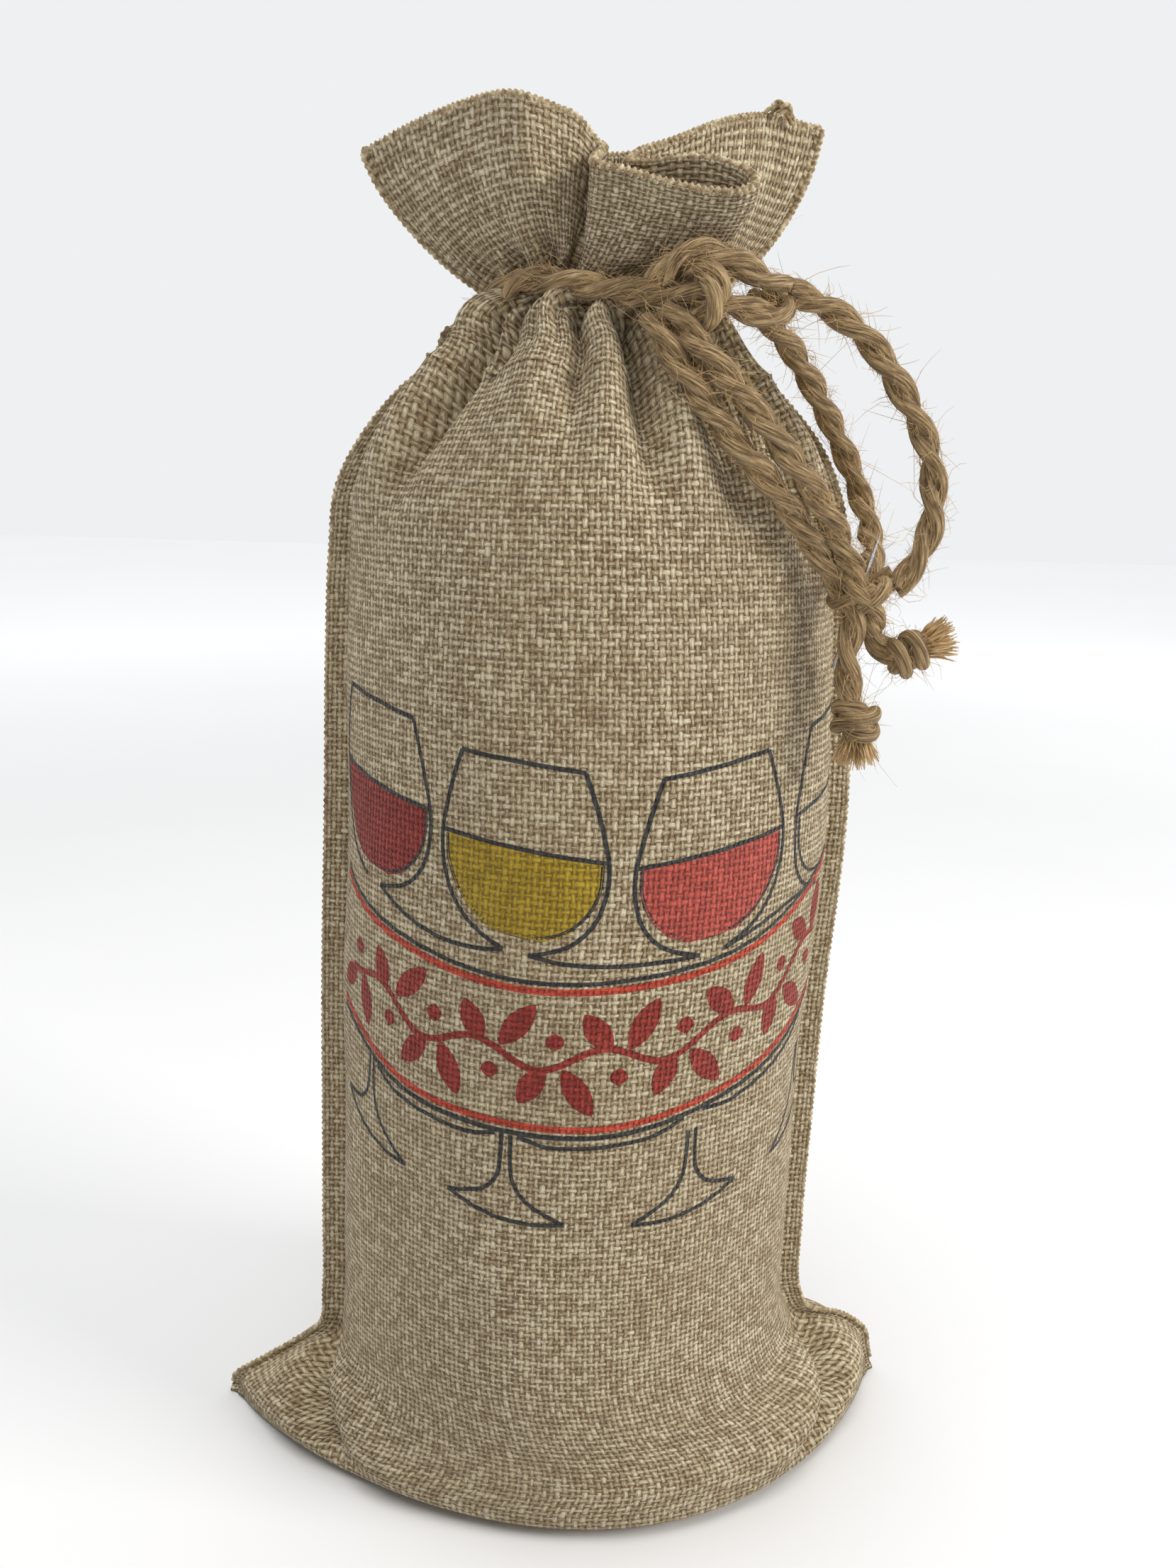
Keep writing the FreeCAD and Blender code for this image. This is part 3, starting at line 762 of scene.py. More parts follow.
class Finish:
    """Builds one material's nodes."""

    def __init__(self, name, roughness, **constants):
        self.material = bpy.data.materials.new(name)
        self.material.use_nodes = True
        self.tree = self.material.node_tree
        self.shader = next(n for n in self.tree.nodes if n.type == "BSDF_PRINCIPLED")
        self.shader.inputs["Roughness"].default_value = roughness
        for socket, value in constants.items():
            self.shader.inputs[socket.replace("_", " ")].default_value = value

    def node(self, kind, inputs=None, **settings):
        node = self.tree.nodes.new(kind)
        for key, value in settings.items():
            setattr(node, key, value)
        for key, value in (inputs or {}).items():
            self.feed(node.inputs[key], value)
        return node

    def feed(self, socket, value):
        if isinstance(value, bpy.types.NodeSocket):
            self.tree.links.new(value, socket)
        elif isinstance(value, tuple) and len(value) == 3 and socket.type == "RGBA":
            socket.default_value = (*value, 1)
        else:
            socket.default_value = value

    def math(self, operation, *values):
        node = self.node("ShaderNodeMath", operation=operation)
        for socket, value in zip(node.inputs, values):
            self.feed(socket, value)
        return node.outputs[0]

    def plus(self, first, second):
        return self.math("ADD", first, second)

    def less(self, first, second):
        return self.math("SUBTRACT", first, second)

    def times(self, first, second):
        return self.math("MULTIPLY", first, second)

    def pick(self, share, low, high):
        """low where share is 0, high where it is 1, for numbers."""
        node = self.node("ShaderNodeMix", data_type="FLOAT")
        for socket, value in zip(node.inputs[:4], (share, None, low, high)):
            if value is not None:
                self.feed(socket, value)
        return node.outputs[0]

    def blend(self, share, low, high, kind="MIX"):
        """low where share is 0, high where it is 1, for colours."""
        node = self.node("ShaderNodeMix", data_type="RGBA", blend_type=kind)
        self.feed(node.inputs[0], share)
        self.feed(node.inputs[6], low)
        self.feed(node.inputs[7], high)
        return node.outputs[2]

    def vector(self, x, y, z=0.0):
        return self.node("ShaderNodeCombineXYZ", {"X": x, "Y": y, "Z": z}).outputs[0]

    def noise(self, vector, scale, detail=2.0, roughness=0.5):
        inputs = {"Vector": vector, "Scale": scale, "Detail": detail, "Roughness": roughness}
        return self.node("ShaderNodeTexNoise", inputs).outputs["Fac"]

    def chance(self, vector):
        return self.node("ShaderNodeTexWhiteNoise", {"Vector": vector}).outputs["Value"]

    def ramp(self, value, *stops):
        node = self.node("ShaderNodeValToRGB", {"Fac": value})
        elements = node.color_ramp.elements
        while len(elements) < len(stops):
            elements.new(0.5)
        for element, (place, colour) in zip(elements, stops):
            element.position = place
            element.color = (*colour, 1)
        return node.outputs["Color"]

    def band(self, value, low, high):
        node = self.node(
            "ShaderNodeMapRange", {"Value": value, "From Min": low, "From Max": high}, interpolation_type="SMOOTHSTEP"
        )
        return node.outputs[0]

    def bump(self, height, distance, strength=1.0):
        node = self.node("ShaderNodeBump", {"Height": height, "Distance": distance, "Strength": strength})
        self.feed(self.shader.inputs["Normal"], node.outputs[0])

    def colour(self, value):
        self.feed(self.shader.inputs["Base Color"], value)
        return self.material


YARN_SWAY = 0.85  # how far yarns wander from their straight line, in millimetres
WEFT_WIDTH, WARP_WIDTH = 0.40, 0.50  # half a float's width, in cells
WEFT_REACH, WARP_REACH = 0.96, 0.86  # half a float's length, in cells
CELL_SHARE, SLUB_SHARE, HAIR_SHARE, CROWN_HIGHLIGHT = 0.26, 0.38, 1.1, 0.34  # what makes a yarn pale: cell, slub and hair are its own tone, the crown is a painted highlight on each float's top
INK_COVER = 0.93
WEAVE_BUMP = 0.00055


def woven(name, cloth, ink=None):
    """Coarse plain weave with uneven, two-tone yarns, painted shade in its gaps and a painted highlight on its floats;
    ink dyes it and leaves the weave showing.
    """
    f = Finish(name, 0.86, Sheen_Weight=0.12, Sheen_Roughness=0.5, Specular_IOR_Level=0.25)
    place = f.node("ShaderNodeUVMap", uv_map="UVMap").outputs[0]
    x, y = f.node("ShaderNodeSeparateXYZ", {"Vector": place}).outputs[:2]

    def stretched(x_scale, y_scale, z=0.0):
        return f.vector(f.times(x, x_scale), f.times(y, y_scale), z)

    def wander(x_scale, y_scale, z=0.0):
        return f.times(f.less(f.noise(stretched(x_scale, y_scale, z), 1.0), 0.5), YARN_SWAY)

    a = f.math("DIVIDE", f.plus(x, wander(0.9, 0.22)), cloth.warp_pitch / MM)
    b = f.math("DIVIDE", f.plus(y, wander(0.22, 0.9, 7.0)), cloth.weft_pitch / MM)
    cell_a, cell_b = f.math("FLOOR", a), f.math("FLOOR", b)
    off_a, off_b = (f.less(f.math("FRACT", value), 0.5) for value in (a, b))
    warp_cell = f.math("GREATER_THAN", f.math("MODULO", f.plus(f.plus(cell_a, cell_b), 4000.0), 2.0), 0.5)
    weft_cell = f.less(1.0, warp_cell)
    across = f.math("ABSOLUTE", f.pick(warp_cell, off_b, off_a))
    along = f.math("ABSOLUTE", f.pick(warp_cell, off_a, off_b))

    def float_height(is_warp, over_width, over_length):
        """A yarn stands up as a rounded float where it passes over another; the upright yarns are plumper."""
        wide = f.math("POWER", f.math("DIVIDE", over_width, f.pick(is_warp, WEFT_WIDTH, WARP_WIDTH)), 2.0)
        long = f.math("POWER", f.math("DIVIDE", over_length, f.pick(is_warp, WEFT_REACH, WARP_REACH)), 2.0)
        return f.less(f.less(1.0, wide), long)

    own = float_height(warp_cell, across, along)
    next_float = float_height(weft_cell, along, f.less(1.0, across))
    from_next = f.math("GREATER_THAN", next_float, own)
    height = f.math("MAXIMUM", f.math("MAXIMUM", own, next_float), -0.25)
    warp_id = f.plus(cell_a, f.times(f.times(from_next, warp_cell), f.math("SIGN", off_a)))
    weft_id = f.plus(cell_b, f.times(f.times(from_next, weft_cell), f.math("SIGN", off_b)))
    warp_over = f.math("ABSOLUTE", f.less(warp_cell, from_next))
    warp_slub = f.noise(f.vector(f.times(warp_id, 3.7), f.times(y, 0.32)), 1.0)
    weft_slub = f.noise(f.vector(f.times(x, 0.32), f.times(weft_id, 3.7), 5.0), 1.0)
    hair = f.pick(warp_over, f.noise(stretched(1.2, 6.0), 1.0, 3.0), f.noise(stretched(6.0, 1.2), 1.0, 3.0))
    cell = f.chance(f.vector(warp_id, weft_id))
    tone = f.plus(f.times(cell, CELL_SHARE), f.times(f.pick(warp_over, weft_slub, warp_slub), SLUB_SHARE))
    tone = f.plus(tone, f.times(f.less(hair, 0.5), HAIR_SHARE))
    # Painted highlight: a float is painted paler the higher it stands.
    tone = f.math("MULTIPLY_ADD", height, CROWN_HIGHLIGHT, tone)
    yarn = f.ramp(tone, (0.24, tuple(cloth.dark)), (0.50, tuple(cloth.middle)), (0.78, tuple(cloth.light)))
    broad = f.noise(place, 0.035, 2.0)
    yarn = f.blend(f.times(f.band(broad, 0.35, 0.7), 0.22), yarn, tuple(cloth.middle))
    # Painted shade: gap is the dark colour where the weave dips between the yarns; under ink it is a darker share of
    # the ink.
    gap = tuple(cloth.gap)
    if ink is not None:
        dyed = f.blend(1.0, f.ramp(tone, (0.28, (0.6,) * 3), (0.8, (1.3,) * 3)), ink, "MULTIPLY")
        yarn = f.blend(INK_COVER, yarn, dyed)
        gap = tuple(0.55 * c for c in ink)
    f.bump(f.plus(height, f.times(hair, 0.22)), WEAVE_BUMP, 1.0)
    # Painted shade where the weave is low, fading into the yarn's own colour on the floats' tops.
    return f.colour(f.blend(f.band(height, -0.75, 0.3), gap, yarn))


def edge_yarn(name, cloth):
    """The turned edge, where single yarns wrap over."""
    f = Finish(name, 0.88, Sheen_Weight=0.1, Specular_IOR_Level=0.2)
    place = f.node("ShaderNodeTexCoord").outputs["Object"]
    tone = f.noise(place, 900.0, 3.0)
    fine = f.noise(place, 4200.0, 2.0)
    f.bump(fine, 0.00012, 0.8)
    mixed = f.plus(f.times(tone, 0.75), f.times(fine, 0.25))
    return f.colour(f.ramp(mixed, (0.34, tuple(cloth.dark)), (0.5, tuple(cloth.middle)), (0.66, tuple(cloth.light))))


def jute(name, rope):
    """Coarse golden-brown fibres that lie along each ply."""
    f = Finish(name, 0.72, Sheen_Weight=0.2, Sheen_Roughness=0.4, Specular_IOR_Level=0.3)
    place = f.node("ShaderNodeUVMap", uv_map="UVMap").outputs[0]
    around, along = f.node("ShaderNodeSeparateXYZ", {"Vector": place}).outputs[:2]
    around = f.plus(around, f.times(along, 0.16))
    place = f.vector(f.times(around, 3.4), f.times(along, 0.3))
    fibres = f.noise(place, 1.0, 4.0, 0.62)
    strands = f.noise(place, 0.38, 2.0)
    tone = f.plus(f.times(fibres, 0.7), f.times(strands, 0.3))
    f.bump(fibres, 0.0009, 1.0)
    return f.colour(f.ramp(tone, (0.38, tuple(rope.dark)), (0.5, tuple(rope.middle)), (0.61, tuple(rope.light))))


def loose_fibre(name, rope):
    f = Finish(name, 0.55, Specular_IOR_Level=0.4)
    tone = f.noise(f.node("ShaderNodeTexCoord").outputs["Object"], 420.0, 2.0)
    return f.colour(f.ramp(tone, (0.3, tuple(rope.middle)), (0.7, tuple(rope.light))))


def steel(name):
    f = Finish(name, 0.28, Metallic=1.0)
    place = f.node("ShaderNodeTexCoord").outputs["Object"]
    marks = f.noise(place, 2600.0, 3.0)
    f.bump(marks, 0.00002, 0.4)
    return f.colour(f.ramp(marks, (0.35, (0.32, 0.32, 0.33)), (0.65, (0.62, 0.62, 0.63))))


MATERIALS = {}


def finish(name):
    """Each finish is made once, from the settings."""
    if name not in MATERIALS:
        settings = bpy.context.scene
        cloth, inks, rope = settings.gift_bag_cloth, settings.gift_bag_print, settings.gift_bag_rope
        made = {
            "cloth": lambda: woven("woven_cloth", cloth),
            "edge": lambda: edge_yarn("turned_edge", cloth),
            "jute": lambda: jute("jute_ply", rope),
            "fibre": lambda: loose_fibre("loose_fibre", rope),
            "steel": lambda: steel("pin_steel"),
        }
        MATERIALS[name] = made[name]() if name in made else woven(name, cloth, tuple(getattr(inks, name)))
    return MATERIALS[name]


# ---- cloth pieces ---------------------------------------------------------------------


def cloth_panel(name, side, cloth):
    shape = face(side)
    turned = side == BACK
    piece = grid_piece(
        name, cloth.columns, cloth.rows, lambda s, t: shape.at(s, t * shape.length), finish("cloth"),
        uv_size=(CLOTH_WIDTH, shape.length), flip=turned,
    )
    group = piece.vertex_groups.new(name="layers")
    double = vertex_places(piece.data)[:, 2] / MM > DOUBLE_FROM
    group.add(np.flatnonzero(~double).tolist(), SINGLE_SHARE, "REPLACE")
    group.add(np.flatnonzero(double).tolist(), 1.0, "REPLACE")
    wall = piece.modifiers.new("cloth_thickness", "SOLIDIFY")
    wall.thickness = cloth.thickness * DOUBLE_LAYERS
    wall.offset = -1
    wall.vertex_group = group.name
    return piece


class GIFTBAG_OT_weave_panels(bpy.types.Operator):
    """Lay the front and back cloth: bottom, corners, body, gathers and ruffle"""

    bl_idname = "giftbag.weave_panels"
    bl_label = "Weave Panels"

    def execute(self, context):
        cloth = context.scene.gift_bag_cloth
        for name, side, node in (("front_cloth", FRONT, "front_panel"), ("back_cloth", BACK, "back_panel")):
            piece = cloth_panel(name, side, cloth)
            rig.ride(piece, "bag")
            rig.replaces(piece, node)
            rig.slot(piece, "burlap_cloth")
            flat = cloth.width, round(face(side).length * MM, 3)
            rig.sheet(piece, flat=flat, held="gathered", rests_on=["drawstring_neck_turn"])
        return {"FINISHED"}


def scalloped(points, pitch, depth=0.28):
    """An even line of points with radii that swell at each yarn."""
    points = np.asarray(points, float)
    length = line_length(points)
    count = max(6, int(length / (pitch / 4)))
    line = even_steps(points, count)
    travelled = np.linspace(0, length, count)
    return line, 1 + depth * np.cos(2 * math.pi * travelled / pitch)


def edging(name, line, radius, pitch, nodes):
    """Yarn turned over an edge, kept just over the table."""
    line = np.column_stack([line[:, :2], line[:, 2].clip(1.3 * radius)])
    mesh = spline_mesh([scalloped(line, pitch)], radius, 1)
    piece = finish_mesh(mesh, name, finish("edge"))
    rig.ride(piece, "bag")
    if nodes:
        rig.replaces(piece, *nodes)
    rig.slot(piece, "burlap_cloth")
    return piece


SIDE_EDGE, UNDER_EDGE, MOUTH_EDGE = 0.62, 0.5, 0.82  # thread radius at the side seams, underneath and at the mouth
EDGE_SAMPLES = 400
STITCH_STEP, STITCH_RADIUS, STITCH_PROUD = 2.9, 0.26, 0.18
STITCH_SPAN = 0.14, 0.36, 0.72  # start, then half and whole length, in steps
ROW_SPAN = 0.04, 0.96  # share of the panel's width that the stitches cover
TUFT_ROOT, TUFT_THREADS, TUFT_RADIUS = (36.0, 9.6, 279.4), 9, 0.42


def stitch_row(name, side, height, node):
    """Short lock stitches that lie in a row across a panel."""
    shape = face(side)
    u = np.linspace(*ROW_SPAN, 240)
    v = shape.station(height) * np.ones_like(u)
    row = even_steps(shape.at(u, v, STITCH_PROUD), len(u))
    count = int(line_length(row) / STITCH_STEP)
    stitches = []
    begin, half, whole = STITCH_SPAN
    for index in range(count):
        start = (index + begin) / count
        bent = even_steps(row, 3, stops=(start, start + half / count, start + whole / count))
        stitches.append((bent, (0.6, 1.0, 0.6)))
    piece = finish_mesh(spline_mesh(stitches, STITCH_RADIUS, 1), name, finish("edge"))
    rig.ride(piece, "bag")
    if node:
        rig.replaces(piece, node)
    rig.slot(piece, "sewing_thread")
    return piece


class GIFTBAG_OT_sew_edges(bpy.types.Operator):
    """Add the turned yarn edges, the hem's stitches and the end of the seam thread"""

    bl_idname = "giftbag.sew_edges"
    bl_label = "Sew Edges"

    def execute(self, context):
        cloth = context.scene.gift_bag_cloth
        front, back = face(FRONT), face(BACK)
        rise = np.linspace(0, 1, 700)
        seam = front.station(3) / front.length
        for name, u, node in (
            ("left_seam_edge", 0.0, "left_seam_thread"), ("right_seam_edge", 1.0, "right_seam_thread"),
        ):
            along = (seam + rise * (1 - seam)) * front.length
            middle = (front.at(np.full(700, u), along) + back.at(np.full(700, u), along)) / 2
            edging(name, middle, SIDE_EDGE, cloth.weft_pitch / MM, [node])
        across = np.linspace(0, 1, EDGE_SAMPLES)
        underside = front.at(across, np.zeros(EDGE_SAMPLES)) + (0, 0, 0.35)
        edging("bottom_seam_edge", underside, UNDER_EDGE, cloth.warp_pitch / MM, ["bottom_seam_thread"])
        for name, shape in (("front_mouth_edge", front), ("back_mouth_edge", back)):
            line = shape.at(across, np.full(EDGE_SAMPLES, shape.length), -0.7)
            edging(name, line, MOUTH_EDGE, cloth.warp_pitch / MM, [])
        stitch_row("front_hem_stitches", FRONT, HEM_HEIGHT, "hem_stitching")
        stitch_row("back_hem_stitches", BACK, HEM_HEIGHT, None)
        rng = np.random.default_rng(11)
        root = np.array(TUFT_ROOT)
        threads = []
        for _ in range(TUFT_THREADS):
            lean = rng.normal(0, 1, 3) * (2.2, 1.2, 0.5)
            top = root + (-3.4, -2.6, 2.6 + rng.uniform(-1.4, 0.6)) + lean * 0.5
            start, bend = root + rng.normal(0, 0.5, 3), root + (-1.2, -0.8, 1.9) + lean * 0.2
            threads.append(([start, bend, top, top + (-1.0, -0.4, -1.2)], (1, 1, 0.9, 0.6)))
        tuft = finish_mesh(spline_mesh(threads, TUFT_RADIUS, 1, order=3), "seam_thread_end", finish("edge"))
        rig.ride(tuft, "bag")
        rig.replaces(tuft, "seam_thread_tail")
        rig.slot(tuft, "sewing_thread")
        return {"FINISHED"}


# ---- print ----------------------------------------------------------------------------

INK_PROUD = 0.07
# middle of each glass across the cloth, height of its bowl's bottom, and how its rim and its foot tilt
GLASSES = [
    (-45.2, 138.9, -0.15, -0.34), (-11.2, 131.9, -0.12, -0.18), (24.8, 131.3, 0.15, 0.18), (60.0, 138.0, 0.2, 0.34),
]
# half outlines from the rim down: distance from the glass's middle, height over the bowl's bottom
BOWL = [
    (11.2, 32.6), (12.8, 28.0), (14.4, 22.0), (15.4, 16.5), (15.1, 11.5),
    (13.2, 6.8), (9.8, 3.0), (5.2, 0.7), (0.0, 0.0),
]
GLASS_SIDE = [
    (11.2, 32.6), (12.8, 28.0), (14.5, 22.0), (15.6, 16.5), (15.3, 10.6),
    (13.4, 5.2), (10.0, 1.3), (6.0, -0.9), (2.4, -2.2),
]
FOOT = [(0.85, -38.6), (0.95, -43.5), (1.6, -47.8), (3.8, -51.0), (7.4, -53.0), (11.6, -54.6)]
FOOT_UNDER = [(-11.6, -54.6), (-5.0, -55.9), (0.0, -56.2), (5.0, -55.9), (11.6, -54.6)]
WINE_LEVEL = 16.6
WINE_EDGE = [
    (-14.5, 16.4), (-14.2, 11.7), (-12.5, 7.5), (-9.3, 3.9), (-5.0, 1.75), (0.0, 1.05),
    (5.0, 1.75), (9.3, 3.9), (12.5, 7.5), (14.2, 11.7), (14.5, 16.4),
]
BANNER_MIDDLE, BANNER_TILT, BANNER_CURVE = 124.3, 0.03, 0.0037
BANNER_DROP, BANNER_LINE = 28.9, 1.35
VINE_DROP, VINE_SWAY, VINE_WAVE, VINE_LINE = BANNER_DROP / 2 + 0.6, 2.2, 24, 1.3
PRINT_REACH = 66.0


def banner_height(arc, drop=0.0):
    arc = np.asarray(arc, float)
    return BANNER_MIDDLE + BANNER_TILT * arc + BANNER_CURVE * arc * arc - drop


def glass_point(glass, x, y):
    """A point of a glass drawing as (distance across the cloth, height)."""
    middle, bottom, rim_tilt, foot_tilt = glass
    tilt = foot_tilt + (rim_tilt - foot_tilt) * smooth(-50, 20, y)
    x, y = np.asarray(x, float), np.asarray(y, float)
    return middle + x, bottom + y + tilt * x


def on_front(arc, height, proud=INK_PROUD):
    """Points on the front panel, from millimetres across it and a height."""
    shape = face(FRONT)
    return shape.at(np.asarray(arc) / CLOTH_WIDTH + 0.5, shape.station(height), proud)


def front_uv(piece, arc, height):
    """Gives a printed piece the cloth's own UV, so that the weave runs on through the ink."""
    mesh = piece.data
    uv = np.stack([arc + CLOTH_WIDTH / 2, face(FRONT).station(height)], 1)[loop_vertices(mesh)]
    mesh.uv_layers[0].data.foreach_set("uv", uv.ravel())


def printed(name, across, along, drawing, ink):
    """A patch of ink: drawing(s, t) gives the distance across the cloth and the height."""
    plan = {}

    def shape(s, t):
        plan["flat"] = drawing(s, t)
        return on_front(*plan["flat"])

    piece = grid_piece(name, across, along, shape, finish(ink))
    front_uv(piece, *plan["flat"])
    return piece


def ink_line(name, points, width, ink, taper=False):
    """A printed stroke through points given as (distance across the cloth, height)."""
    flat = np.array([(a, h, 0) for a, h in points], float)
    knots = distances(flat)
    dense = through(knots, flat, np.linspace(0, knots[-1], max(12, int(knots[-1] * 2))))
    count = max(4, int(knots[-1] / 0.8))
    line = even_steps(dense, count + 1)
    tangent = directions(line)
    stations = np.linspace(0, 1, count + 1)
    half = np.full(count + 1, width / 2)
    if taper:
        half *= 0.25 + 0.75 * np.sin(math.pi * stations) ** 0.6

    def drawing(s, t):
        x, y = (np.interp(t, stations, line[:, k]) for k in (0, 1))
        side_x, side_y = (np.interp(t, stations, values) for values in (-tangent[:, 1], tangent[:, 0]))
        reach = (s - 0.5) * 2 * np.interp(t, stations, half)
        return x + side_x * reach, y + side_y * reach

    return printed(name, 1, count, drawing, ink)


def wine_fill(name, glass, ink):
    """Wine in a bowl, up to its level."""
    inset = 0.9
    xs, ys = (np.array(values[::-1]) for values in zip(*BOWL))

    def drawing(s, t):
        y = inset + (WINE_LEVEL - inset) * t**1.6
        half = np.interp(y, ys, xs) - inset * 0.8
        return glass_point(glass, (2 * s - 1) * half, y)

    return printed(name, 26, 22, drawing, ink)


def leaf(name, middle, height, length, width, lean, ink):
    """A pointed leaf, the banner's plain ornament."""
    cos, sin = math.cos(lean), math.sin(lean)

    def drawing(s, t):
        along = (t - 0.5) * length
        side = (s - 0.5) * width * np.sin(math.pi * t) ** 0.75
        return middle + along * cos - side * sin, height + along * sin + side * cos

    return printed(name, 6, 12, drawing, ink)


def glass_lines(glass):
    """The lines of one glass, each with its share of the line width."""
    rim, rim_height = BOWL[0]
    surface = WINE_LEVEL + 0.4
    drawing = []
    for side in (-1, 1):
        drawing += [([(side * x, y) for x, y in half], 1) for half in (GLASS_SIDE, FOOT)]
    drawing.append(([(x, rim_height) for x in (-rim, -4, 4, rim)], 1))
    drawing.append(([(x, surface) for x in (-15.2, -7, 0, 7, 15.2)], 1))
    drawing += [(FOOT_UNDER, 1), (WINE_EDGE, 0.8)]
    return [([glass_point(glass, x, y) for x, y in line], share) for line, share in drawing]


def banner_links(left, right):
    """The black lines along the banner's two edges, from one glass's stem to the next."""
    stem, stem_top = GLASS_SIDE[-1]
    start, end = glass_point(left, stem, stem_top), glass_point(right, -stem, stem_top)
    arcs = np.linspace(start[0], end[0], 7)
    heights = banner_height(arcs) + 2.8
    blend = np.linspace(0, 1, 7)
    heights += (start[1] - heights[0]) * (1 - blend) ** 3 + (end[1] - heights[-1]) * blend**3
    low = np.linspace(left[0] + 2.2, right[0] - 2.2, 7)
    sag = 1.4 * (1 - np.abs(np.linspace(-1, 1, 7)) ** 6)
    return list(zip(arcs, heights)), list(zip(low, banner_height(low, BANNER_DROP + 2.4) - sag))


class GIFTBAG_OT_print_front(bpy.types.Operator):
    """Print four plain stemmed glasses and a banner of leaves on the front cloth"""

    bl_idname = "giftbag.print_front"
    bl_label = "Print Front"

    def execute(self, context):
        inks = context.scene.gift_bag_print
        width = inks.line_width / MM
        black = []

        def stroke(points, wide=width):
            kept = [(a, h) for a, h in points if abs(a) < PRINT_REACH + 3]
            if len(kept) > 2:
                black.append(ink_line(f"stroke_{len(black)}", kept, wide, "outline"))

        for glass in GLASSES:
            for line, share in glass_lines(glass):
                stroke(line, width * share)
        for left, right in zip(GLASSES, GLASSES[1:]):
            for line in banner_links(left, right):
                stroke(line)
        reach = np.linspace(-PRINT_REACH + 6, PRINT_REACH - 2, 25)
        stroke(list(zip(reach, banner_height(reach))))
        stroke(list(zip(reach, banner_height(reach, BANNER_DROP + 1.7))), width * 1.2)
        outline = join("print_outlines", black)
        red = [
            ink_line("edge_top", list(zip(reach, banner_height(reach, 1.6))), BANNER_LINE, "banner"),
            ink_line("edge_low", list(zip(reach, banner_height(reach, BANNER_DROP))), BANNER_LINE, "banner"),
        ]
        edges = join("print_banner_lines", red)
        vine = []
        twig = np.linspace(-54, 60, 60)
        sway = VINE_SWAY * np.sin(2 * math.pi * twig / VINE_WAVE)
        vine.append(ink_line("vine", list(zip(twig, banner_height(twig, VINE_DROP) + sway)), VINE_LINE, "ornament"))
        for index, middle in enumerate(np.arange(-51, 60, 12.0)):
            up = 1 if index % 2 else -1
            sway = VINE_SWAY * math.sin(2 * math.pi * middle / VINE_WAVE)
            base = float(banner_height(middle, VINE_DROP)) + sway
            tilt = BANNER_TILT + 2 * BANNER_CURVE * middle
            for turn, size, shift in ((58, 11.0, 1.6), (122, 9.0, -1.6)):
                lean = math.radians(turn * up) + tilt
                away = size / 2
                vine.append(
                    leaf(f"leaf_{len(vine)}", middle + shift + math.cos(lean) * away, base + math.sin(lean) * away,
                         size, 4.6, lean, "ornament")
                )
            vine.append(leaf(f"bud_{index}", middle, base - up * 5.2, 3.4, 3.4, math.pi / 2, "ornament"))
        ornament = join("print_ornament", vine)
        wines = [
            wine_fill("print_red_wine", GLASSES[0], "red_wine"),
            wine_fill("print_white_wine", GLASSES[1], "white_wine"),
            wine_fill("print_rose_wine", GLASSES[2], "rose_wine"),
        ]
        for piece in (outline, edges, ornament, *wines):
            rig.ride(piece, "bag")
        return {"FINISHED"}


# ---- drawstring -----------------------------------------------------------------------


def on_neck(degrees, height, radius=22.7):
    turned = math.radians(degrees)
    return (radius * math.sin(turned) * MM, -radius * math.cos(turned) * MM, height * MM)


NECK_TURN = [
    (0.0105, -0.0255, 0.2428), on_neck(2, 243.6), on_neck(-27, 246.2), on_neck(-56, 244.2), on_neck(-85, 241.8),
    on_neck(-114, 241.0), on_neck(-143, 241.4), on_neck(-172, 242.4), on_neck(159, 243.2), on_neck(130, 243.6),
    on_neck(101, 243.6), on_neck(72, 243.2), (0.0186, -0.0205, 0.2426),
]
TAIL_A = [
    (0.0115, -0.0286, 0.2402), (0.0170, -0.0314, 0.2337), (0.0257, -0.0340, 0.2243), (0.0333, -0.0340, 0.2157),
    (0.0406, -0.0304, 0.2068), (0.0459, -0.0264, 0.1984), (0.0480, -0.0258, 0.1930), (0.0506, -0.0256, 0.1879),
    (0.0512, -0.0258, 0.1846), (0.0544, -0.0262, 0.1830), (0.0570, -0.0264, 0.1832), (0.0603, -0.0264, 0.1848),
]
TAIL_B = [
    (0.0086, -0.0280, 0.2390), (0.0126, -0.0310, 0.2310), (0.0212, -0.0340, 0.2208), (0.0296, -0.0336, 0.2122),
    (0.0374, -0.0296, 0.2034), (0.0436, -0.0262, 0.1954), (0.0460, -0.0276, 0.1914), (0.0464, -0.0292, 0.1882),
    (0.0457, -0.0292, 0.1842), (0.0459, -0.0289, 0.1800), (0.0470, -0.0286, 0.1746), (0.0482, -0.0286, 0.1712),
    (0.0486, -0.0286, 0.1674),
]
LOOP_RETURN = [
    (0.0258, -0.0218, 0.2426), (0.0304, -0.0145, 0.2410), (0.0378, -0.0080, 0.2338), (0.0448, -0.0016, 0.2246),
    (0.0504, 0.0014, 0.2154), (0.0536, -0.0006, 0.2066), (0.0534, -0.0090, 0.2002), (0.0510, -0.0180, 0.1970),
    (0.0486, -0.0232, 0.1952),
]
BOW_LOOP = [
    (0.0316, -0.0242, 0.2442), (0.0386, -0.0228, 0.2424), (0.0464, -0.0220, 0.2374), (0.0540, -0.0226, 0.2276),
    (0.0594, -0.0236, 0.2172), (0.0602, -0.0248, 0.2064), (0.0576, -0.0258, 0.1992), (0.0540, -0.0261, 0.1946),
]
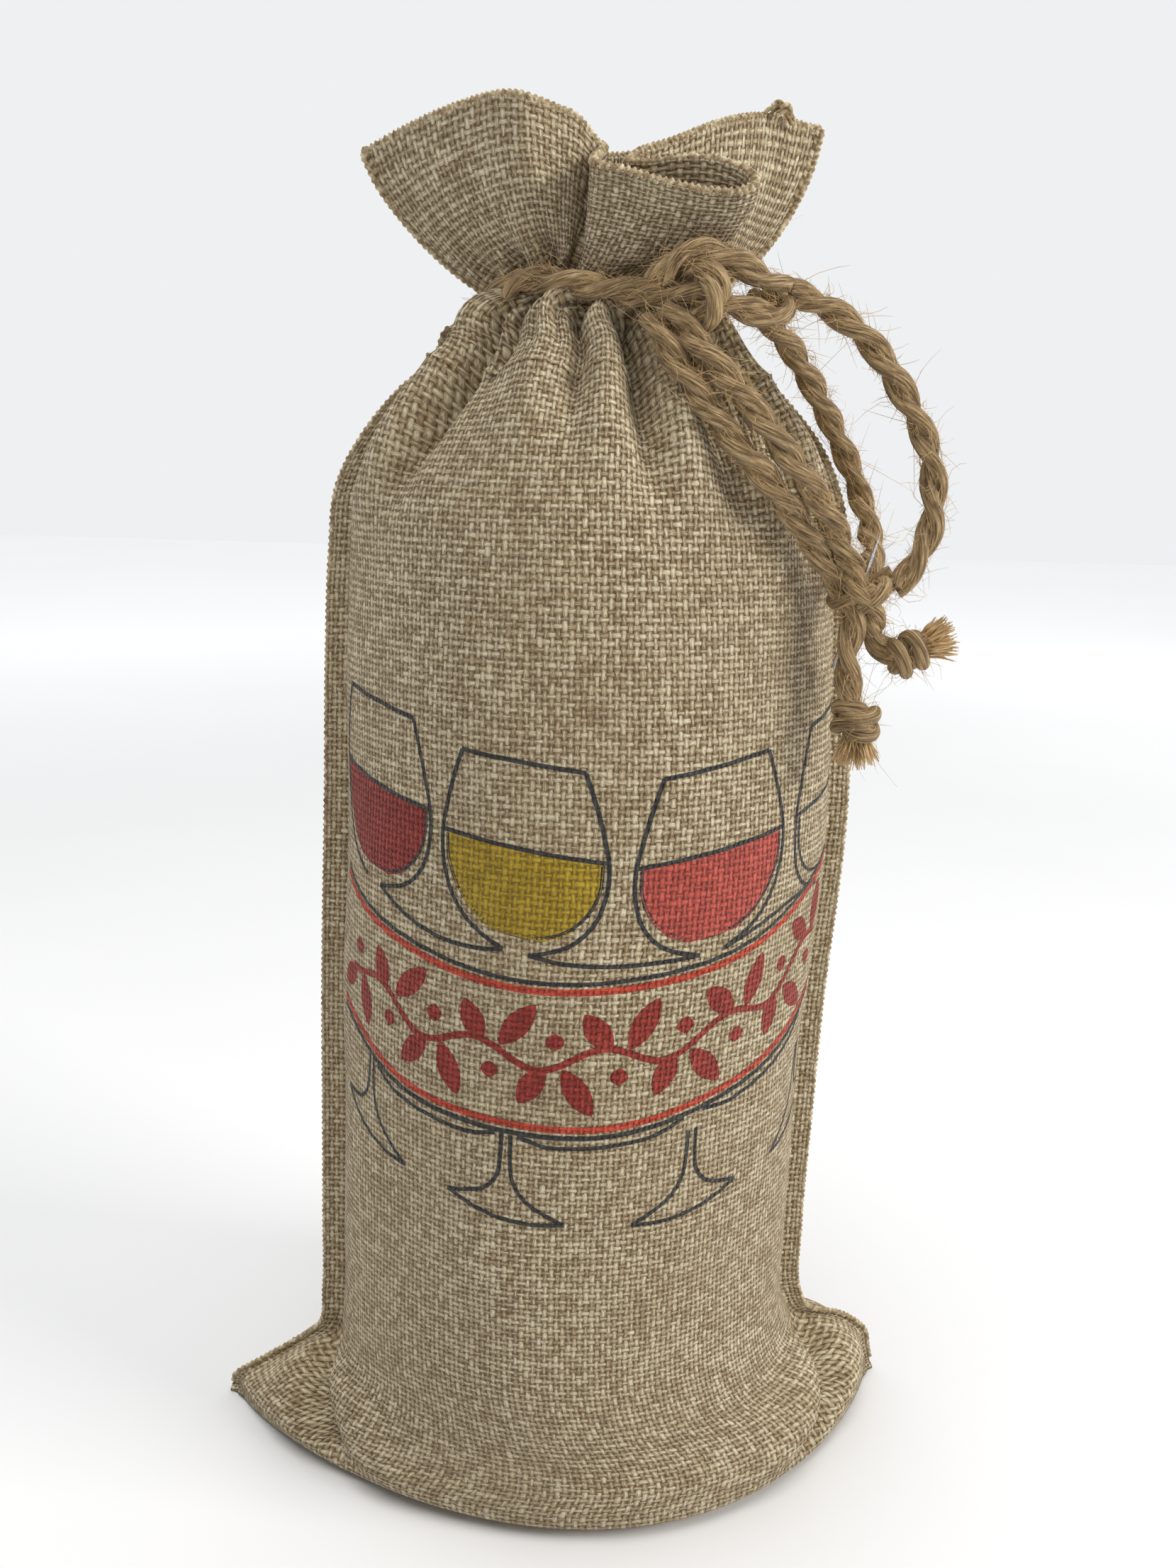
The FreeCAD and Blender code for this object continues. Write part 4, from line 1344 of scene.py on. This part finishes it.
# name, route, nodes it stands for, far end, lay, pieces at its ends, body it is on or bends into
CORDS = [
    ("neck_turn_rope", NECK_TURN, ("drawstring_neck_turn",), "object", "taut", ["bow_knot_strands"], "bag"),
    ("tail_a_rope", TAIL_A, ("tail_a_strand", "tail_a_end"), "knot", "hanging",
     ["tail_a_overhand", "tail_a_frayed"], "tail_a"),
    ("tail_b_rope", TAIL_B, ("tail_b_strand", "tail_b_end"), "knot", "hanging",
     ["tail_b_overhand", "tail_b_frayed"], "tail_b"),
    ("loop_return_rope", LOOP_RETURN, ("loop_return_strand",), "object", "hanging", ["crossing_strands"], "bag"),
    ("bow_loop_rope", BOW_LOOP, ("bow_loop",), "object", "hanging", [], "bow_loop"),
]
TAIL_BENDS = {
    "tail_a": ((0.0462, -0.0262, 0.1966), (0.0502, -0.0257, 0.1886)),
    "tail_b": ((0.0440, -0.0264, 0.1946), (0.0464, -0.0288, 0.1888)),
}


def hold(piece, body):
    """Rides on a body, or for a tail bends from the bag into it at the crossing."""
    if body in TAIL_BENDS:
        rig.blend(piece, "bag", body, *TAIL_BENDS[body])
    else:
        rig.ride(piece, body)


# rope strands of the two knots, in millimetres
BOW_STRANDS = [
    [(6.5, -25.6, 243.4), (13, -28.4, 242.8), (20, -29.8, 241.6), (26.4, -29.0, 239.6),
     (31.4, -26.2, 239.8), (32.2, -22.6, 242.8), (28.4, -20.6, 244.6)],
    [(8.2, -24.8, 242.6), (10.2, -28.2, 246.6), (15.4, -30.2, 249.2), (21.6, -29.6, 248.2),
     (27.0, -27.6, 245.4), (31.6, -24.6, 244.0)],
    [(13.4, -23.4, 247.6), (16.6, -29.8, 246.8), (19.8, -32.6, 242.8), (18.6, -30.2, 238.6),
     (13.6, -27.0, 237.6), (10.6, -24.4, 239.0)],
]
CROSSING_STRANDS = [
    [(43.6, -27.2, 199.6), (46.2, -29.6, 195.2), (49.4, -29.2, 191.0), (51.0, -27.0, 187.4)],
    [(53.6, -25.8, 196.6), (49.6, -23.6, 194.4), (46.6, -23.8, 191.0), (46.2, -27.0, 188.4)],
    [(43.8, -23.2, 193.4), (44.6, -28.2, 191.6), (48.8, -30.4, 193.2), (51.8, -27.2, 195.2), (51.6, -22.6, 194.4)],
]
# piece, middle, direction, body, node
OVERHANDS = [
    ("tail_a_overhand", (57.0, -26.4, 183.2), (0.9, 0, 0.44), "tail_a", "tail_a_knot"),
    ("tail_b_overhand", (48.2, -28.6, 171.2), (0.1, 0, -1), "tail_b", "tail_b_knot"),
]
FRAYS = [
    ("tail_a_frayed", (60.0, -26.4, 184.7), (0.93, 0, 0.37), "tail_a", "tail_a_fray"),
    ("tail_b_frayed", (48.55, -28.6, 168.0), (0.03, 0, -1), "tail_b", "tail_b_fray"),
]


KNOT_SQUEEZE, END_KNOT_SQUEEZE = 0.96, 0.94  # how much thinner the rope is in a knot
FRAY_FIBRES, FRAY_THREAD = 170, 0.2  # how many, and the radius of one
FRAY_LENGTH, FRAY_SPREAD = (5.2, 8.2), (2.0, 3.6)
FRAY_ROOT_RADIUS, FRAY_INSIDE = 1.7, 1.5  # of the bundle, and how far inside the rope its fibres start


def knot_line(middle, direction, radius=2.35, turns=1.55, rise=4.6, lean=0.5):
    """The rope's line round a tight overhand knot."""
    axis = Vector(direction).normalized()
    across = axis.cross(Vector((0, 1, 0.2))).normalized()
    depth = axis.cross(across)
    line = []
    for share in np.linspace(0, 1, 60):
        turn = 2 * math.pi * turns * share
        along = rise * (share - 0.5) + lean * radius * math.cos(turn)
        place = Vector(middle) + axis * along + (across * math.cos(turn) + depth * math.sin(turn)) * radius
        line.append(place)
    return even_steps([tuple(p) for p in line], 60)


def frayed_fibres(root, direction, rng):
    """Fibres that open out like a brush from a rope's end."""
    axis = np.array(direction) / np.linalg.norm(direction)
    side = np.cross(axis, (0, 1, 0.1))
    side /= np.linalg.norm(side)
    other = np.cross(axis, side)
    fibres = []
    for _ in range(FRAY_FIBRES):
        angle, out = rng.uniform(0, 2 * math.pi), math.sqrt(rng.uniform(0, 1))
        ray = side * math.cos(angle) + other * math.sin(angle)
        length = rng.uniform(*FRAY_LENGTH) * (1 - 0.2 * out)
        spread = out * rng.uniform(*FRAY_SPREAD)
        start = np.array(root) + ray * out * FRAY_ROOT_RADIUS - axis * FRAY_INSIDE
        wave = rng.normal(0, 0.35, (2, 3))
        fibres.append((
            [start, start + axis * length * 0.35 + ray * spread * 0.15 + wave[0],
             start + axis * length * 0.7 + ray * spread * 0.6 + wave[1], start + axis * length + ray * spread],
            (1, 1, 0.8, 0.35),
        ))
    return fibres


class GIFTBAG_OT_tie_knots(bpy.types.Operator):
    """Tie the bow's knot, the crossing, the two end knots and their frayed ends"""

    bl_idname = "giftbag.tie_knots"
    bl_label = "Tie Knots"

    def execute(self, context):
        rope = context.scene.gift_bag_rope
        thick, pitch = rope.diameter / MM, rope.pitch / MM
        for name, routes, node in (
            ("bow_knot_strands", BOW_STRANDS, "drawstring_knot"),
            ("crossing_strands", CROSSING_STRANDS, "strand_crossing"),
        ):
            strands = [
                twisted_rope(f"{name}_{index}", route_line(np.array(route) * MM), thick * KNOT_SQUEEZE, pitch,
                             finish("jute"), index, index + 20)
                for index, route in enumerate(routes)
            ]
            piece = join(name, strands)
            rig.ride(piece, "bag")
            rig.replaces(piece, node)
            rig.slot(piece, "jute_rope")
        for name, middle, direction, body, node in OVERHANDS:
            line = knot_line(middle, direction)
            piece = twisted_rope(name, line, thick * END_KNOT_SQUEEZE, pitch, finish("jute"), 0.6, 31)
            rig.ride(piece, body)
            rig.replaces(piece, node)
            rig.slot(piece, "jute_rope")
        for order, (name, root, direction, body, node) in enumerate(FRAYS):
            fibres = frayed_fibres(root, direction, np.random.default_rng(40 + order))
            piece = finish_mesh(spline_mesh(fibres, FRAY_THREAD, 0, order=3), name, finish("fibre"))
            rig.ride(piece, body)
            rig.replaces(piece, node)
            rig.slot(piece, "jute_rope")
        return {"FINISHED"}


class GIFTBAG_OT_lay_drawstring(bpy.types.Operator):
    """Lay the drawstring: its turn round the neck, both tails, the bow's loop and its return"""

    bl_idname = "giftbag.lay_drawstring"
    bl_label = "Lay Drawstring"

    def execute(self, context):
        rope = context.scene.gift_bag_rope
        for order, (name, route, nodes, far_end, lay, others, body) in enumerate(CORDS):
            line = route_line(route)
            thick, pitch = rope.diameter / MM, rope.pitch / MM
            piece = twisted_rope(name, line, thick, pitch, finish("jute"), 0.7 * order, order + 1)
            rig.replaces(piece, *nodes)
            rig.slot(piece, "jute_rope")
            hold(piece, body)
            length = line_length(line) * MM
            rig.cord(
                piece, exit=route[0], length=round(float(length), 4), diameter=rope.diameter, far_end=far_end,
                stiffness="limp", lay=lay, path=(line * MM).tolist(), with_pieces=others,
            )
        return {"FINISHED"}


HAIR_RADIUS = 0.045
ROPE_HAIR_REACH, KNOT_HAIR_REACH = 3.1, 2.2
HAIR_ROOT = 0.42  # of the rope's diameter
HAIR_LEAST, HAIR_SPREAD = 0.35, 0.45  # shares of the reach
STANDING_SHARE, STANDING_LIFT, LYING_LIFT = 0.45, (0.2, 0.9), (-0.05, 0.16)  # hairs that stand, and how steeply


def hairs_on(line, rng, per_mm, reach, radius):
    """Short loose hairs that spring from a rope."""
    sides, ups = frames_along(line)
    tangents = directions(line)
    hairs = []
    for _ in range(int(line_length(line) * per_mm)):
        k = rng.integers(0, len(line))
        angle = rng.uniform(0, 2 * math.pi)
        ray = sides[k] * math.cos(angle) + ups[k] * math.sin(angle)
        long = reach * (HAIR_LEAST + rng.exponential(HAIR_SPREAD))
        lift = rng.uniform(*STANDING_LIFT) if rng.uniform() < STANDING_SHARE else rng.uniform(*LYING_LIFT)
        way = tangents[k] * rng.choice((-1, 1)) * rng.uniform(0.5, 1.0) + ray * lift
        way = way + rng.normal(0, 0.12 + 0.15 * lift, 3)
        start = line[k] + ray * radius
        bend = rng.normal(0, 0.28, 3) * long
        reached = ((0, 0), (0.4, 0), (0.75, 0.6), (1, 1.3))  # share of the length, share of the bend
        hairs.append(([start + way * long * out + bend * aside for out, aside in reached], (1, 0.9, 0.7, 0.35)))
    return hairs


class GIFTBAG_OT_add_fuzz(bpy.types.Operator):
    """Add the loose hairs of the jute, each lot on the body its rope follows"""

    bl_idname = "giftbag.add_fuzz"
    bl_label = "Add Fuzz"

    def execute(self, context):
        rope = context.scene.gift_bag_rope
        radius = rope.diameter / MM * HAIR_ROOT
        for order, (name, route, _, _, _, _, body) in enumerate(CORDS):
            rng = np.random.default_rng(60 + order)
            hairs = hairs_on(route_line(route), rng, rope.hairs, ROPE_HAIR_REACH, radius)
            if name == "neck_turn_rope":
                for strand in BOW_STRANDS + CROSSING_STRANDS:
                    line = route_line(np.array(strand) * MM)
                    hairs += hairs_on(line, rng, rope.hairs * 0.8, ROPE_HAIR_REACH, radius)
            piece = finish_mesh(spline_mesh(hairs, HAIR_RADIUS, 0), name + "_fuzz", finish("fibre"))
            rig.slot(piece, "jute_rope")
            hold(piece, body)
        for name, middle, direction, body, _ in OVERHANDS:
            rng = np.random.default_rng(80)
            hairs = hairs_on(knot_line(middle, direction), rng, rope.hairs, KNOT_HAIR_REACH, radius)
            piece = finish_mesh(spline_mesh(hairs, HAIR_RADIUS, 0), name + "_fuzz", finish("fibre"))
            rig.slot(piece, "jute_rope")
            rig.ride(piece, body)
        return {"FINISHED"}


class GIFTBAG_OT_polish_pin(bpy.types.Operator):
    """Give the straight pin its steel"""

    bl_idname = "giftbag.polish_pin"
    bl_label = "Polish Pin"

    def execute(self, context):
        pin = frame["nodes"]["straight_pin"]
        pin.data.materials.clear()
        pin.data.materials.append(finish("steel"))
        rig.slot(pin, "pin_steel")
        return {"FINISHED"}


# ---- stage ----------------------------------------------------------------------------

LENS_LENGTH = 27.2
WALL_DARK, WALL_LIGHT = 0.20, 0.88  # the room's light from the camera's side and from behind the bag
# place in metres, share of the power, width, colour
LAMPS = {
    "window_light": ((1.3, -0.45, 0.8), 1.25, 0.6, (1.0, 0.975, 0.93)),
    "ceiling_light": ((-0.15, -0.25, 1.5), 1.1, 0.9, (1.0, 0.98, 0.95)),
}
LAMPS_AIM = Vector((0, 0, 0.14))
SENSOR_HEIGHT = 36.0


class GIFTBAG_OT_set_stage(bpy.types.Operator):
    """Set the pale table, soft lights and the camera"""

    bl_idname = "giftbag.set_stage"
    bl_label = "Set Stage"

    def execute(self, context):
        stage = context.scene.gift_bag_stage
        table = Finish("pale_table", 0.6, Specular_IOR_Level=0.2)
        place = table.node("ShaderNodeTexCoord").outputs["Object"]
        base = tuple(stage.floor)
        table.colour(table.ramp(table.noise(place, 3.0, 3.0), (0.3, tuple(0.96 * c for c in base)), (0.7, base)))
        # Painted light: the table glows, more the further a point is from the bag, to brighten the far table top.
        far = table.node("ShaderNodeVectorMath", {0: place}, operation="LENGTH").outputs["Value"]
        table.shader.inputs["Emission Color"].default_value = (1, 1, 1, 1)
        table.feed(table.shader.inputs["Emission Strength"], table.math("MULTIPLY", table.band(far, 0.35, 1.6), 0.38))
        mesh = bpy.data.meshes.new("table_top")
        bm = bmesh.new()
        bmesh.ops.create_grid(bm, x_segments=2, y_segments=2, size=4.0)
        bm.to_mesh(mesh)
        bm.free()
        floor = finish_mesh(mesh, "table_top", table.material)
        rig.stage(floor)

        world = bpy.data.worlds.new("soft_room")
        context.scene.world = world
        world.use_nodes = True
        nodes, links = world.node_tree.nodes, world.node_tree.links
        way = nodes.new("ShaderNodeSeparateXYZ")
        links.new(nodes.new("ShaderNodeTexCoord").outputs["Generated"], way.inputs[0])
        wall = nodes.new("ShaderNodeMapRange")
        wall.interpolation_type = "SMOOTHSTEP"
        for socket, value in (("From Min", -0.5), ("From Max", 0.5), ("To Min", WALL_DARK), ("To Max", WALL_LIGHT)):
            wall.inputs[socket].default_value = value
        links.new(way.outputs["Y"], wall.inputs["Value"])
        links.new(wall.outputs[0], nodes["Background"].inputs["Strength"])
        nodes["Background"].inputs["Color"].default_value = (0.98, 0.99, 1.0, 1)
        for name, (place, share, width, tint) in LAMPS.items():
            lamp = bpy.data.lights.new(name, "AREA")
            lamp.energy, lamp.size, lamp.color = share * stage.key_power, width, tint
            light = bpy.data.objects.new(name, lamp)
            light.location = place
            light.rotation_euler = (LAMPS_AIM - Vector(place)).to_track_quat("-Z", "Y").to_euler()
            context.scene.collection.objects.link(light)

        lens = bpy.data.cameras.new("front_camera")
        lens.sensor_fit = "VERTICAL"
        lens.sensor_height = SENSOR_HEIGHT
        lens.lens = LENS_LENGTH
        lens.clip_start, lens.clip_end = 0.01, 30
        camera = bpy.data.objects.new("front_camera", lens)
        tilt = Matrix.Rotation(math.pi / 2 - stage.camera_pitch, 4, "X")
        lean = Matrix.Rotation(stage.camera_roll, 4, "Z")
        camera.matrix_world = Matrix.Translation((0, -stage.camera_distance, stage.camera_height)) @ tilt @ lean
        context.scene.collection.objects.link(camera)
        context.scene.camera = camera
        context.scene.view_settings.view_transform = "Standard"
        return {"FINISHED"}


# ---- panel ----------------------------------------------------------------------------

OPERATORS = (
    GIFTBAG_OT_weave_panels,
    GIFTBAG_OT_sew_edges,
    GIFTBAG_OT_print_front,
    GIFTBAG_OT_tie_knots,
    GIFTBAG_OT_lay_drawstring,
    GIFTBAG_OT_add_fuzz,
    GIFTBAG_OT_polish_pin,
    GIFTBAG_OT_set_stage,
)
SETTINGS = {
    "gift_bag_cloth": GiftBagCloth,
    "gift_bag_print": GiftBagPrint,
    "gift_bag_rope": GiftBagRope,
    "gift_bag_stage": GiftBagStage,
}


class GIFTBAG_PT_tools(bpy.types.Panel):
    """Lists the bag's makers and their settings"""

    bl_idname = "GIFTBAG_PT_tools"
    bl_label = "Gift Bag"
    bl_space_type = "VIEW_3D"
    bl_region_type = "UI"
    bl_category = "Gift Bag"

    def draw(self, context):
        for operator in OPERATORS:
            self.layout.operator(operator.bl_idname)
        for key in SETTINGS:
            box = self.layout.box()
            group = getattr(context.scene, key)
            for setting in group.bl_rna.properties:
                if setting.identifier not in {"rna_type", "name"}:
                    box.prop(group, setting.identifier)


def register():
    for kind in (*SETTINGS.values(), *OPERATORS, GIFTBAG_PT_tools):
        bpy.utils.register_class(kind)
    for key, kind in SETTINGS.items():
        setattr(bpy.types.Scene, key, PointerProperty(type=kind))


def unregister():
    for key in SETTINGS:
        delattr(bpy.types.Scene, key)
    for kind in reversed((*SETTINGS.values(), *OPERATORS, GIFTBAG_PT_tools)):
        bpy.utils.unregister_class(kind)


def main():
    register()
    bpy.ops.giftbag.weave_panels()
    bpy.ops.giftbag.sew_edges()
    bpy.ops.giftbag.print_front()
    bpy.ops.giftbag.tie_knots()
    bpy.ops.giftbag.lay_drawstring()
    bpy.ops.giftbag.add_fuzz()
    bpy.ops.giftbag.polish_pin()
    bpy.ops.giftbag.set_stage()
    with open("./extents.json", "w") as sizes:
        boxes = {"cad": CAD_BOX, "visual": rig.bounds()}
        json.dump({name: [list(corner) for corner in box] for name, box in boxes.items()}, sizes)


if __name__ == "__main__":
    main()
